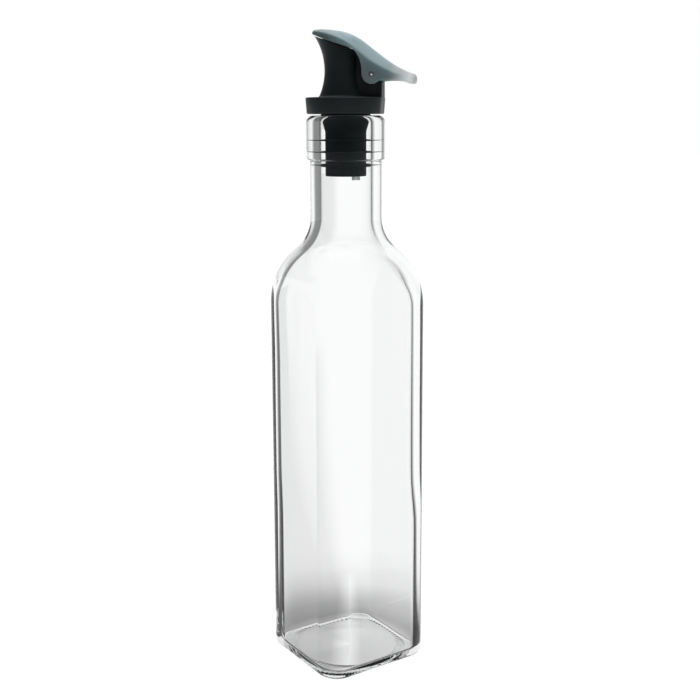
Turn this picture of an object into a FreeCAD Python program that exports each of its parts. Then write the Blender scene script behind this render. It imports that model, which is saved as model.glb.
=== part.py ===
"""A square glass oil bottle closed by a lever-lid pourer.

The bottle is one moulded glass piece. The pourer is a rigid moulding (collar,
horn-shaped spout, hinge block and hollow stem) in a ribbed soft bung. Its lever
lid turns on a steel pin and carries a soft seal that closes the spout's mouth.

Millimetres, +Z up. The origin is the centre of the base, on the plane that the
bottle stands on, and the flats of the body face along X and Y. The pourer is
modelled with its tail along +X, then turned to its heading.
"""

import FreeCAD
import Part
import math
import os
from FreeCAD import Vector

# Glass bottle: body and base
BOTTLE_HEIGHT = 209.0
BASE_WIDTH = 46.9
SHOULDER_WIDTH = 46.2
CORNER_RADIUS = 8.6
WALL = 2.8
INNER_CORNER_RADIUS = 8.0
HEEL_RADIUS = 2.0
INNER_HEEL_RADIUS = 4.5
BASE_THICKNESS = 5.0
BEARING_WIDTH = 5.45
PUSH_UP_DEPTH = 2.2

# Glass bottle: shoulder, neck and mouth
NECK_DIAMETER = 26.3
NECK_LENGTH = 36.5
BORE_DIAMETER = 18.5
FLARE_RADIUS = 15.0
SIDE_SLOPE = 46.0
CORNER_SLOPE = 52.0
FINISH_DIAMETER = 28.8
FINISH_HEIGHT = 15.8
FINISH_TOP_RADIUS = 2.4
FINISH_FOOT_RADIUS = 0.9
MOUTH_RADIUS = 0.8

# Pourer heading, turned about the bottle's axis from +X
POURER_HEADING = -45.0

# Collar, over the glass rim, with a flat at the rear
COLLAR_GAP = 0.5
COLLAR_HEIGHT = 5.9
COLLAR_OVERHANG = 0.15
COLLAR_DRAFT = 0.35
COLLAR_EDGE = 0.5
COLLAR_FLAT_DEPTH = 0.7

# Spout: a horn with a waist, closed by a sloping deck with an oval pouring hole
WAIST_HEIGHT = 9.5
WAIST_FRONT = 7.6
FRONT_RADIUS = 21.5
SPOUT_BACK = 4.6
BACK_HEIGHT = 12.0
BACK_RADIUS = 26.0
SPOUT_HALF_WIDTH = 6.3
SIDE_RADIUS = 66.0
SPOUT_WALL = 1.4
DECK_HEIGHT = 17.75
DECK_SLOPE = 18.5
DECK_THICKNESS = 1.3
HOLE_CENTRE = -3.4
HOLE_LENGTH = 10.6
HOLE_LEDGE = 2.0
HOLE_END_RADIUS = 3.5
CHANNEL_LEAN = 0.1

# Stem, vent tube and bung, inside the neck
STEM_WALL = 1.0
STEM_RECESS = 0.8
VENT_DIAMETER = 3.0
VENT_BORE = 1.8
VENT_BELOW = 1.5
VENT_ABOVE = 1.8
VENT_SOCKET_WALL = 0.55
VENT_SOCKET_LENGTH = 5.0
BUNG_DEPTH = 21.6
BUNG_WALL = 1.25
BUNG_FLANGE_DEPTH = 1.9
BUNG_CONE_LENGTH = 3.8
RIB_DEPTHS = (8.75, 12.9, 17.4)
RIB_LENGTH = 1.6
RIB_THICKNESS = 0.6

# Hinge block behind the spout
PIN_BACK = 10.4
PIN_HEIGHT = 7.9
PIN_DIAMETER = 1.3
PIN_RECESS = 0.35
BLOCK_HALF_WIDTH = 3.0
BOSS_RADIUS = 2.6
REAR_WALL = 1.5
REAR_WALL_HALF_WIDTH = 3.6
REAR_WALL_HEIGHT = 5.6

# Lever lid: overall
LID_NOSE = -11.5
LID_WALL = 1.6
LID_ROOF = 1.5
RIM_END = 2.1
EAR_HALF_WIDTH = 6.2
EAR_RADIUS = 3.4
EAR_FRONT = 4.35
EAR_SHOULDER = 5.5
DIMPLE_DIAMETER = 2.0
HOLLOW_BEHIND_PIN = 8.0
TAIL_BEHIND_PIN = 15.3
TAIL_ARCH = 2.1
TAIL_DROP = 3.35
TAIL_ROUND = 1.7
TAIL_CORNER = 2.2

# Lever lid, stations behind its nose: place, wider than the spout, edge above the rim, crown
LID_FRONT_STATIONS = (
    (0.0, -2.9, 0.95, 0.85), (3.5, -0.4, 1.9, 1.15), (8.0, 0.6, 2.15, 2.0), (12.5, 0.7, 1.8, 2.85))

# Lever lid, stations along the pin and tail: place, wider than the ears, edge above the pin, crown
LID_REAR_STATIONS = (
    (-4.9, 0.25, 8.4, 3.95), (0.0, 0.0, 4.65, 4.05), (5.1, -0.15, 1.85, 3.05),
    (10.1, -0.6, -0.05, 1.95), (TAIL_BEHIND_PIN, -1.4, -1.35, 1.1))

# Seal under the lid's nose
SEAL_FLANGE = 0.8
SEAL_FLANGE_RIM = 0.5
SEAL_PLUG = 1.0
SEAL_TAPER = 0.55
STUD_DIAMETER = 2.8
STUD_GRIP = 0.6

# Clearances
FIT = 0.15
TURNING = 0.05
LID_GAP = 0.35
EAR_GAP = 0.35

# Bands that the curved forms are laid in (the bottle's inside joins several), and the points of an oval
FLARE_BANDS = 6
SHOULDER_BANDS = 10
INSIDE_STEP = 4
HEEL_BANDS = 3
DOME_BANDS = 2
EDGE_BANDS = 2
SPOUT_BANDS = 15
LID_BANDS = 28
OVAL_POINTS = 12
MIN_FLAT = 1.0

# Derived places and radii
ROOT_TWO = math.sqrt(2.0)
ACROSS = Vector(0, 1, 0)
NECK_FOOT = BOTTLE_HEIGHT - NECK_LENGTH
PUSH_UP_RADIUS = BASE_WIDTH / 2 - BEARING_WIDTH
COLLAR_FOOT = BOTTLE_HEIGHT + COLLAR_GAP
COLLAR_TOP = COLLAR_FOOT + COLLAR_HEIGHT
COLLAR_RADIUS = FINISH_DIAMETER / 2 + COLLAR_OVERHANG
COLLAR_FLAT = COLLAR_RADIUS - COLLAR_FLAT_DEPTH
BUNG_FOOT = BOTTLE_HEIGHT - BUNG_DEPTH
STEM_FOOT = BUNG_FOOT + STEM_RECESS
RIB_RADIUS = BORE_DIAMETER / 2 - FIT
BUNG_RADIUS = RIB_RADIUS - RIB_LENGTH
STEM_RADIUS = BUNG_RADIUS - BUNG_WALL - TURNING
STEM_BORE_RADIUS = STEM_RADIUS - STEM_WALL
VENT_PLACE = STEM_BORE_RADIUS - VENT_DIAMETER / 2
HOLE_HALF_WIDTH = SPOUT_HALF_WIDTH - HOLE_LEDGE
PIN_Z = COLLAR_TOP + PIN_HEIGHT
LID_TIP = PIN_BACK + TAIL_BEHIND_PIN


def even_turns(bands, start_deg=0.0, end_deg=90.0):
    """Angles from a start to an end in even steps, in radians."""
    return [math.radians(start_deg + (end_deg - start_deg) * step / bands) for step in range(bands + 1)]


def rounding(centre_r, centre_z, radius, start_deg, end_deg):
    """Points of a rounded edge of a lathe profile: radii and heights."""
    turns = even_turns(EDGE_BANDS, start_deg, end_deg)
    return [(centre_r + radius * math.cos(turn), centre_z + radius * math.sin(turn)) for turn in turns]


def lathe(profile):
    """The solid that a profile of radii and heights sweeps round the axis."""
    outline = Part.makePolygon([Vector(r, 0, z) for r, z in [*profile, profile[0]]])
    return Part.Face(outline).revolve(Vector(0, 0, 0), Vector(0, 0, 1), 360.0)


def s_curve(start, end, concave, slope_deg):
    """Two tangent arcs from a start radius down and out to an end radius.

    Returns the radius as a function of the drop, and the drops at even turns of the arcs.
    """
    slope = math.radians(slope_deg)
    convex = (end - start) / (1.0 - math.cos(slope)) - concave
    bend = concave * math.sin(slope)
    total = bend + convex * math.sin(slope)

    def radius(drop):
        if drop <= 0.0:
            return start
        if drop < bend:
            return start + concave - math.sqrt(concave ** 2 - drop ** 2)
        if drop < total:
            return end - convex + math.sqrt(convex ** 2 - (total - drop) ** 2)
        return end

    upper = [concave * math.sin(turn) for turn in even_turns(FLARE_BANDS, 0.0, slope_deg)]
    lower = [total - convex * math.sin(turn) for turn in even_turns(SHOULDER_BANDS, slope_deg, 0.0)]
    return radius, upper[:-1] + lower


def corner_reach(half, corner):
    """Distance from the axis to a rounded square's corner, along its diagonal."""
    return ROOT_TWO * (half - corner) + corner


def squircle(half, reach, z):
    """A rounded square of eight edges, or a circle split in the same way."""
    flat = half - (ROOT_TWO * half - reach) / (ROOT_TWO - 1.0)
    is_round = flat < MIN_FLAT
    if is_round:
        flat = MIN_FLAT
        reach = half
    side_x = math.sqrt(half ** 2 - flat ** 2) if is_round else half
    edges = []
    for quarter in range(4):
        turn = FreeCAD.Rotation(Vector(0, 0, 1), 90.0 * quarter)
        low = turn.multVec(Vector(side_x, -flat, z))
        high = turn.multVec(Vector(side_x, flat, z))
        middle = turn.multVec(Vector(half, 0, z))
        diagonal = turn.multVec(Vector(reach / ROOT_TWO, reach / ROOT_TWO, z))
        after = turn.multVec(Vector(flat, side_x, z))
        side = Part.Arc(low, middle, high) if is_round else Part.LineSegment(low, high)
        edges.append(side.toShape())
        edges.append(Part.Arc(high, diagonal, after).toShape())
    return Part.Wire(edges)


def square_foot(half, corner, heel, floor):
    """Levels of a square foot with a rounded heel: half-width, corner reach and height."""
    levels = []
    for turn in even_turns(HEEL_BANDS):
        draw = heel * (1.0 - math.sin(turn))
        reach = corner_reach(half - draw, corner - draw)
        levels.append((half - draw, reach, floor + heel * (1.0 - math.cos(turn))))
    return levels


def banded_loft(levels):
    """A solid of ruled bands through rounded squares."""
    return Part.makeLoft([squircle(*level) for level in levels], True, True)


def bottle_outside():
    """The square body with its heel, and the shoulder that turns it round."""
    half = SHOULDER_WIDTH / 2
    neck = NECK_DIAMETER / 2
    side, _ = s_curve(neck, half, FLARE_RADIUS, SIDE_SLOPE)
    diagonal, drops = s_curve(neck, corner_reach(half, CORNER_RADIUS), FLARE_RADIUS, CORNER_SLOPE)
    shoulder = [(side(drop), diagonal(drop), NECK_FOOT - drop) for drop in reversed(drops)]
    return banded_loft(square_foot(BASE_WIDTH / 2, CORNER_RADIUS, HEEL_RADIUS, 0.0) + shoulder)


def neck_and_mouth():
    """The round neck and the band at its mouth, still without the bore."""
    neck = NECK_DIAMETER / 2
    band = FINISH_DIAMETER / 2
    foot = BOTTLE_HEIGHT - FINISH_HEIGHT
    profile = [(0.0, NECK_FOOT), (neck, NECK_FOOT), (neck, foot)]
    profile += rounding(band - FINISH_FOOT_RADIUS, foot + FINISH_FOOT_RADIUS, FINISH_FOOT_RADIUS, -90.0, 0.0)
    top = BOTTLE_HEIGHT - FINISH_TOP_RADIUS
    profile += rounding(band - FINISH_TOP_RADIUS, top, FINISH_TOP_RADIUS, 0.0, 90.0)
    return lathe([*profile, (0.0, BOTTLE_HEIGHT)])


def dome(rise):
    """Profile of the push-up's dome from the axis out, raised by a height."""
    ball = (PUSH_UP_RADIUS ** 2 + PUSH_UP_DEPTH ** 2) / (2 * PUSH_UP_DEPTH)
    radii = [PUSH_UP_RADIUS * step / DOME_BANDS for step in range(DOME_BANDS + 1)]
    return [(r, math.sqrt(ball ** 2 - r ** 2) - ball + PUSH_UP_DEPTH + rise) for r in radii]


def bottle_hollow():
    """The oil's space: square walls, a domed floor, a round funnel, the bore and its mouth."""
    bore = BORE_DIAMETER / 2
    bend = FLARE_RADIUS + (NECK_DIAMETER - BORE_DIAMETER) / 2
    widest = corner_reach(SHOULDER_WIDTH / 2, INNER_CORNER_RADIUS)
    funnel, drops = s_curve(bore, widest, bend, CORNER_SLOPE)
    profile = [*dome(BASE_THICKNESS), (widest, BASE_THICKNESS)]
    profile += [(funnel(drop), NECK_FOOT - drop) for drop in reversed(drops[::INSIDE_STEP])]
    profile += rounding(bore + MOUTH_RADIUS, BOTTLE_HEIGHT - MOUTH_RADIUS, MOUTH_RADIUS, 180.0, 90.0)
    profile += [(bore + MOUTH_RADIUS, COLLAR_FOOT), (0.0, COLLAR_FOOT)]
    half = SHOULDER_WIDTH / 2 - WALL
    walls = square_foot(half, INNER_CORNER_RADIUS, INNER_HEEL_RADIUS, BASE_THICKNESS)
    walls.append((half, corner_reach(half, INNER_CORNER_RADIUS), COLLAR_FOOT))
    return lathe(profile).common(banded_loft(walls))


def glass_bottle():
    """The bottle: square body, round neck with a banded mouth, domed base."""
    push_up = lathe([*dome(0.0), (PUSH_UP_RADIUS, -WALL), (0.0, -WALL)])
    outside = bottle_outside().fuse(neck_and_mouth())
    return outside.cut([bottle_hollow(), push_up]).removeSplitter()


def stopper_bung():
    """The soft sleeve round the stem: a flange in the mouth, a cone and thin fins."""
    bore = STEM_RADIUS + TURNING
    top = COLLAR_FOOT - TURNING
    flange = BOTTLE_HEIGHT - BUNG_FLANGE_DEPTH
    outline = [(bore, top), (RIB_RADIUS, top), (RIB_RADIUS, flange)]
    outline.append((BUNG_RADIUS, flange - BUNG_CONE_LENGTH))
    for depth in RIB_DEPTHS:
        above = BOTTLE_HEIGHT - depth + RIB_THICKNESS / 2
        below = above - RIB_THICKNESS
        outline += [(BUNG_RADIUS, above), (RIB_RADIUS, above), (RIB_RADIUS, below), (BUNG_RADIUS, below)]
    return lathe([*outline, (BUNG_RADIUS, BUNG_FOOT), (bore, BUNG_FOOT)])


def spout_front(height):
    """How far the spout's front stands before the axis, at a height above the collar."""
    return WAIST_FRONT + FRONT_RADIUS - math.sqrt(FRONT_RADIUS ** 2 - (height - WAIST_HEIGHT) ** 2)


def flare_below(height, radius):
    """How far the spout widens below the level where its back runs straight."""
    below = max(0.0, BACK_HEIGHT - height)
    return radius - math.sqrt(radius ** 2 - below ** 2)


def oval(front, back, half_width, z):
    """A level oval from -front to back, as wide as twice the half-width."""
    middle = (back - front) / 2
    half_length = (front + back) / 2
    turns = [2 * math.pi * step / OVAL_POINTS for step in range(OVAL_POINTS)]
    points = [Vector(middle + half_length * math.cos(t), half_width * math.sin(t), z) for t in turns]
    curve = Part.BSplineCurve()
    curve.interpolate(points, PeriodicFlag=True)
    return Part.Wire([curve.toShape()])


def spout_section(height):
    """The spout's level section at a height above the collar."""
    back = SPOUT_BACK + flare_below(height, BACK_RADIUS)
    half_width = SPOUT_HALF_WIDTH + flare_below(height, SIDE_RADIUS)
    return oval(spout_front(height), back, half_width, COLLAR_TOP + height)


def deck_height(x):
    """Height of the sloping deck's top above the collar, at a place along X."""
    return DECK_HEIGHT - x * math.tan(math.radians(DECK_SLOPE))


def on_deck(shape, sink=0.0):
    """A shape modelled on the level plane, laid on the deck at the pouring hole's centre."""
    placed = shape.copy()
    placed.translate(Vector(0, 0, -sink))
    placed.rotate(Vector(0, 0, 0), Vector(0, 1, 0), DECK_SLOPE)
    placed.translate(Vector(HOLE_CENTRE, 0, COLLAR_TOP + deck_height(HOLE_CENTRE)))
    return placed


def hole_outline(wider, z):
    """The pouring hole's oval of four tangent arcs, drawn wider all round."""
    reach = HOLE_LENGTH / 2 - HOLE_END_RADIUS
    rise = HOLE_HALF_WIDTH - HOLE_END_RADIUS
    turn = 2 * math.atan2(rise, reach)
    along = (HOLE_END_RADIUS + wider) * math.sin(turn)
    across = (HOLE_END_RADIUS + wider) * math.cos(turn)
    edges = []
    for sign in (1, -1):
        low = Vector(sign * (reach + along), -sign * across, z)
        high = Vector(sign * (reach + along), sign * across, z)
        far = Vector(-high.x, high.y, z)
        end_tip = Vector(sign * (HOLE_LENGTH / 2 + wider), 0, z)
        side_tip = Vector(0, sign * (HOLE_HALF_WIDTH + wider), z)
        edges += [Part.Arc(low, end_tip, high).toShape(), Part.Arc(high, side_tip, far).toShape()]
    return Part.Wire(edges)


def tapered_plug(clearance, low, high):
    """An oval plug that narrows downwards, from a low to a high level."""
    outlines = [hole_outline(SEAL_TAPER * z / SEAL_PLUG - clearance, z) for z in (low, high)]
    return Part.makeLoft(outlines, True, True)


def above_deck(sink):
    """The space above the deck, or above a level sunk below it."""
    reach = 2 * COLLAR_RADIUS
    return on_deck(Part.makeBox(2 * reach, 2 * reach, reach, Vector(-reach, -reach, 0)), sink)


def horn():
    """The spout's solid form, from inside the collar up to the deck."""
    low = -COLLAR_HEIGHT / 2
    top = deck_height(LID_NOSE) + DECK_THICKNESS
    heights = [low + (top - low) * step / SPOUT_BANDS for step in range(SPOUT_BANDS + 1)]
    form = Part.makeLoft([spout_section(height) for height in heights], True, True)
    return form.cut(above_deck(0.0))


def channel():
    """The round way through the spout, leaning forward from the stem's bore to the deck."""
    radius = (WAIST_FRONT + SPOUT_BACK) / 2 - SPOUT_WALL
    root = -COLLAR_HEIGHT / 2
    middle = (SPOUT_BACK - WAIST_FRONT) / 2 + CHANNEL_LEAN * (WAIST_HEIGHT - root)
    lean = Vector(-CHANNEL_LEAN, 0, 1)
    way = Part.makeCylinder(radius, 2 * DECK_HEIGHT, Vector(middle, 0, COLLAR_TOP + root), lean)
    return way.cut(above_deck(DECK_THICKNESS))


def collar():
    """The ring over the glass rim, with bevelled edges and a flat at the rear."""
    foot_radius = COLLAR_RADIUS - COLLAR_DRAFT
    profile = [(0.0, COLLAR_FOOT), (foot_radius - COLLAR_EDGE, COLLAR_FOOT)]
    profile += [(foot_radius, COLLAR_FOOT + COLLAR_EDGE), (COLLAR_RADIUS, COLLAR_TOP - COLLAR_EDGE)]
    ring = lathe([*profile, (COLLAR_RADIUS - COLLAR_EDGE, COLLAR_TOP), (0.0, COLLAR_TOP)])
    corner = Vector(COLLAR_FLAT, -COLLAR_RADIUS, COLLAR_FOOT)
    return ring.cut(Part.makeBox(COLLAR_RADIUS, 2 * COLLAR_RADIUS, COLLAR_HEIGHT, corner))


def hinge_block():
    """The web behind the spout that holds the pin, and the rear wall that ends it."""
    wall_front = COLLAR_FLAT - REAR_WALL
    root = COLLAR_TOP - COLLAR_HEIGHT / 2
    web_end = PIN_BACK - EAR_FRONT
    web_top = COLLAR_TOP + deck_height(web_end) - DECK_THICKNESS
    web_outline = [
        (0.0, root), (0.0, web_top), (web_end, web_top), (PIN_BACK, PIN_Z + BOSS_RADIUS),
        (wall_front, COLLAR_TOP + REAR_WALL_HEIGHT), (wall_front, root), (0.0, root)]
    web = Part.Face(Part.makePolygon([Vector(x, -BLOCK_HALF_WIDTH, z) for x, z in web_outline]))
    web = web.extrude(Vector(0, 2 * BLOCK_HALF_WIDTH, 0))
    wall = Part.makeBox(
        REAR_WALL, 2 * REAR_WALL_HALF_WIDTH, COLLAR_TOP + REAR_WALL_HEIGHT - root,
        Vector(wall_front, -REAR_WALL_HALF_WIDTH, root))
    boss_half = EAR_HALF_WIDTH - LID_WALL - EAR_GAP
    boss = Part.makeCylinder(BOSS_RADIUS, 2 * boss_half, Vector(PIN_BACK, -boss_half, PIN_Z), ACROSS)
    return web.fuse([wall, boss])


def spout_body():
    """The rigid moulding: collar, spout, hinge block, stem and vent socket."""
    stem_length = COLLAR_FOOT - STEM_FOOT + COLLAR_HEIGHT / 2
    stem = Part.makeCylinder(STEM_RADIUS, stem_length, Vector(0, 0, STEM_FOOT))
    body = collar().fuse([horn(), hinge_block(), stem])

    bore = Part.makeCylinder(STEM_BORE_RADIUS, COLLAR_TOP - BUNG_FOOT, Vector(0, 0, BUNG_FOOT))
    hole = on_deck(tapered_plug(0.0, -2 * DECK_THICKNESS, DECK_THICKNESS))
    body = body.cut([channel(), bore, hole])

    socket_foot = COLLAR_FOOT - VENT_SOCKET_LENGTH
    place = Vector(VENT_PLACE, 0, socket_foot)
    socket = Part.makeCylinder(VENT_DIAMETER / 2 + VENT_SOCKET_WALL, VENT_SOCKET_LENGTH, place)
    stem_core = Part.makeCylinder(STEM_RADIUS, VENT_SOCKET_LENGTH, Vector(0, 0, socket_foot))
    tube = Part.makeCylinder(VENT_DIAMETER / 2, VENT_SOCKET_LENGTH, place)
    body = body.fuse(socket.common(stem_core).cut(tube))
    return body.cut(pin_cylinder(PIN_DIAMETER / 2, EAR_HALF_WIDTH)).removeSplitter()


def vent_tube():
    """The thin tube that lets air back into the bottle."""
    foot = BUNG_FOOT - VENT_BELOW
    length = COLLAR_FOOT + VENT_ABOVE - foot
    place = Vector(VENT_PLACE, 0, foot)
    bore = Part.makeCylinder(VENT_BORE / 2, length, place)
    return Part.makeCylinder(VENT_DIAMETER / 2, length, place).cut(bore)


def pin_cylinder(radius, half_length):
    """A cylinder along the pin's axis, to either side of the middle plane."""
    return Part.makeCylinder(radius, 2 * half_length, Vector(PIN_BACK, -half_length, PIN_Z), ACROSS)


def hinge_pin():
    """The steel pin through the ears and the hinge block."""
    return pin_cylinder(PIN_DIAMETER / 2, EAR_HALF_WIDTH - PIN_RECESS)


def lid_stations():
    """Stations along the lid: place, half-width, edge height and crown of its top."""
    stations = []
    for x, wider, edge, crown in LID_FRONT_STATIONS:
        rim = COLLAR_TOP + deck_height(LID_NOSE + x) + LID_GAP
        stations.append((LID_NOSE + x, SPOUT_HALF_WIDTH + wider, rim + edge, crown))
    for x, wider, edge, crown in LID_REAR_STATIONS:
        stations.append((PIN_BACK + x, EAR_HALF_WIDTH + wider, PIN_Z + edge, crown))
    return stations


def guide(points):
    """A smooth curve through points that lie in order along X, read by their X."""
    curve = Part.BSplineCurve()
    curve.interpolate(Points=points, Parameters=[point.x for point in points])
    return curve


def lid_levels():
    """Places along the lid with the half-width, the edge height and the crown height of its top."""
    stations = lid_stations()
    edge = guide([Vector(x, half, edge) for x, half, edge, _ in stations])
    ridge = guide([Vector(x, 0, edge + crown) for x, _, edge, crown in stations])
    places = [LID_NOSE + (LID_TIP - LID_NOSE) * step / LID_BANDS for step in range(LID_BANDS + 1)]
    return [(x, edge.value(x).y, edge.value(x).z, ridge.value(x).z) for x in places]


def lid_form(top_of):
    """A form along the lid, from the collar's level up to a top edge drawn for each place."""
    sections = []
    for level in lid_levels():
        top = top_of(*level)
        right = top[-1].lastVertex().Point
        left = top[0].firstVertex().Point
        feet = [Vector(end.x, end.y, COLLAR_TOP) for end in (right, left)]
        sections.append(Part.Wire([*top, *Part.makePolygon([right, *feet, left]).Edges]))
    return Part.makeLoft(sections, True, True)


def crowned(x, half, edge, ridge):
    """The lid's top across: one arc over the ridge."""
    return [Part.Arc(Vector(x, -half, edge), Vector(x, 0, ridge), Vector(x, half, edge)).toShape()]


def cored(x, half, edge, ridge):
    """The hollow's top across, under the lid's roof and within its walls: three flats."""
    inner = half - LID_WALL
    low = edge - LID_ROOF
    high = ridge - LID_ROOF - (ridge - edge) / 4
    corners = [(-inner, low), (-inner / 2, high), (inner / 2, high), (inner, low)]
    return Part.makePolygon([Vector(x, y, z) for y, z in corners]).Edges


def lid_side():
    """The lid's side view, swept across: rim over the deck, ears round the pin, arched tail."""
    def at_pin(x, z):
        return Vector(PIN_BACK + x, 0, PIN_Z + z)

    def arc(start, middle, end):
        return Part.Arc(start, middle, end).toShape()

    def rim(x):
        return Vector(x, 0, COLLAR_TOP + deck_height(x) + LID_GAP)

    slant = EAR_RADIUS / ROOT_TWO
    nose = rim(LID_NOSE - LID_WALL)
    ear_start = rim(PIN_BACK - EAR_FRONT - RIM_END)
    lobe_front = at_pin(-EAR_RADIUS, 0)
    lobe_rear = at_pin(slant, -slant)
    tail_start = at_pin(TAIL_BEHIND_PIN - TAIL_ROUND, -TAIL_DROP)
    tail_end = at_pin(TAIL_BEHIND_PIN, TAIL_ROUND - TAIL_DROP)
    round_middle = tail_start + Vector(TAIL_ROUND / ROOT_TWO, 0, TAIL_ROUND * (1 - 1 / ROOT_TWO))
    ceiling = nose.z + COLLAR_HEIGHT
    edges = [
        Part.LineSegment(nose, ear_start).toShape(),
        arc(ear_start, at_pin(-EAR_FRONT, EAR_SHOULDER), lobe_front),
        arc(lobe_front, at_pin(0, -EAR_RADIUS), lobe_rear),
        arc(lobe_rear, at_pin(TAIL_BEHIND_PIN / 2, -TAIL_ARCH), tail_start),
        arc(tail_start, round_middle, tail_end)]
    above = [tail_end, Vector(LID_TIP, 0, ceiling), Vector(nose.x, 0, ceiling), nose]
    outline = Part.Face(Part.Wire(edges + Part.makePolygon(above).Edges))
    outline.translate(Vector(0, -COLLAR_RADIUS, 0))
    return outline.extrude(Vector(0, 2 * COLLAR_RADIUS, 0))


def lid_plan():
    """The lid's plan view, raised through it: broad in front, the tail's corners rounded."""
    (_, before, _, _), (_, last, _, _) = lid_stations()[-2:]
    half = (before + last) / 2
    sweep = TAIL_CORNER * (1 - 1 / ROOT_TWO)
    start = LID_TIP - TAIL_CORNER

    def rounded(sign):
        points = [(start, half), (LID_TIP - sweep, half - sweep), (LID_TIP, half - TAIL_CORNER)]
        return [Vector(x, sign * y, COLLAR_TOP) for x, y in points]

    left = rounded(-1)
    right = rounded(1)
    far_left = Vector(LID_NOSE - COLLAR_RADIUS, -2 * COLLAR_RADIUS, COLLAR_TOP)
    far_right = Vector(LID_NOSE - COLLAR_RADIUS, 2 * COLLAR_RADIUS, COLLAR_TOP)
    edges = [Part.Arc(*left).toShape(), Part.LineSegment(left[-1], right[-1]).toShape()]
    edges += [Part.Arc(*right).toShape(), *Part.makePolygon([right[0], far_right, far_left, left[0]]).Edges]
    outline = Part.Face(Part.Wire(Part.__sortEdges__(edges)))
    return outline.extrude(Vector(0, 0, 2 * COLLAR_RADIUS))


def flip_lid():
    """The lever lid: crowned shell with hinge ears, a solid thumb tail and a stud for the seal."""
    outside = lid_form(crowned).common(lid_side()).common(lid_plan())
    start = LID_NOSE + LID_WALL
    span = PIN_BACK + HOLLOW_BEHIND_PIN - start
    corner = Vector(start, -COLLAR_RADIUS, COLLAR_TOP)
    hollow = Part.makeBox(span, 2 * COLLAR_RADIUS, 2 * COLLAR_RADIUS, corner)
    shell = outside.cut(lid_form(cored).common(hollow))
    stud = Part.makeCylinder(STUD_DIAMETER / 2, COLLAR_HEIGHT, Vector(0, 0, FIT + SEAL_FLANGE - STUD_GRIP))
    shell = shell.fuse(on_deck(stud).common(outside))
    shell = shell.cut(pin_cylinder(PIN_DIAMETER / 2 + TURNING, 2 * EAR_HALF_WIDTH))
    dimples = pin_cylinder(DIMPLE_DIAMETER / 2, 2 * EAR_HALF_WIDTH)
    dimples = dimples.cut(pin_cylinder(DIMPLE_DIAMETER, EAR_HALF_WIDTH - PIN_RECESS))
    return shell.cut(dimples).removeSplitter()


def lid_seal():
    """The soft seal: a flange over the deck, a tapered plug and a blind hole for the stud."""
    flange = Part.Face(hole_outline(SEAL_FLANGE_RIM, FIT)).extrude(Vector(0, 0, SEAL_FLANGE))
    plug = tapered_plug(FIT, -SEAL_PLUG, FIT)
    blind = Part.makeCylinder(STUD_DIAMETER / 2, STUD_GRIP, Vector(0, 0, FIT + SEAL_FLANGE - STUD_GRIP))
    return on_deck(flange.fuse(plug).cut(blind).removeSplitter())


def main():
    """Build every piece, turn the pourer to its heading and write the solids."""
    os.makedirs("parts", exist_ok=True)
    pourer = {
        "stopper_bung": stopper_bung(), "spout_body": spout_body(), "vent_tube": vent_tube(),
        "hinge_pin": hinge_pin(), "flip_lid": flip_lid(), "lid_seal": lid_seal()}
    for shape in pourer.values():
        shape.rotate(Vector(0, 0, 0), Vector(0, 0, 1), POURER_HEADING)
    for name, shape in {"glass_bottle": glass_bottle(), **pourer}.items():
        print(name, shape.isValid(), len(shape.Solids), round(shape.Volume, 1), shape.BoundBox)
        shape.exportStep(f"parts/{name}.step")


main()
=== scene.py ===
"""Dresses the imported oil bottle: clear moulded glass, a black pourer and its grey lever lid.

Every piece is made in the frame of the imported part, in metres. Sizes are written in
millimetres, as a maker would give them, and turned into metres where a mesh is made.
The pourer is shaped with its tail along +X, then turned to its heading.
"""

import logging
import math
from collections.abc import Callable, Iterable, Sequence
from dataclasses import dataclass, field
from enum import Enum

import bmesh
import bpy
from mathutils import Matrix, Vector, noise

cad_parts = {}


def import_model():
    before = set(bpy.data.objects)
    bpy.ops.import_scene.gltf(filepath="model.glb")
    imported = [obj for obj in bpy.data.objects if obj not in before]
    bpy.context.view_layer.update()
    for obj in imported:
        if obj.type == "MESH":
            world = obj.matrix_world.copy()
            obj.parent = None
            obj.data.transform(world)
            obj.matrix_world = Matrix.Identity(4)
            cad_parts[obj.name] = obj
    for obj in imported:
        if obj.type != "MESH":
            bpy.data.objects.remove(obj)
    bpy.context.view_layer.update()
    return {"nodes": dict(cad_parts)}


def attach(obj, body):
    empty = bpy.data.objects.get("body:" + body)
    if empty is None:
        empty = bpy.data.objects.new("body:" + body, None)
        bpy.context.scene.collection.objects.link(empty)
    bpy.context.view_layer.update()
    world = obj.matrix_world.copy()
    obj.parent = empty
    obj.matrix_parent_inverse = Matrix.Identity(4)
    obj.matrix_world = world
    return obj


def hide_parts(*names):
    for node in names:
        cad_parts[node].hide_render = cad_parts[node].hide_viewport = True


LOG = logging.getLogger("oil_bottle")
ROOT_TWO = math.sqrt(2.0)

# Metres in a millimetre
MM = 0.001

# Degrees from +X round to the lid's tail, and the tail's direction
HEADING = -45.0
TAIL = Vector((math.cos(math.radians(HEADING)), math.sin(math.radians(HEADING)), 0.0))

# Sizes that the pourer's pieces share, in millimetres and degrees
COLLAR_TOP = 215.4
DECK_HEIGHT = 17.75
DECK_SLOPE = 18.5
HOLE_PLACE = -3.4
PIN_BACK = 10.4
PIN_HEIGHT = 7.9

# The range that holds most of a noise
CLOUD_LOW = 0.3
CLOUD_HIGH = 0.7

# Distance of a small round edge's middle from its corner, as a share of its radius
EDGE_MIDDLE = 0.3

# Bands of a bevelled edge, and the profile that makes it round
BEVEL_BANDS = 3
BEVEL_ROUND = 0.5

# Places of a Mix node's share and of its two numbers among its inputs
MIX_INPUTS = (0, 2, 3)

# A count of bounces above this is one or more
ANY_BOUNCE = 0.5

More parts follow.
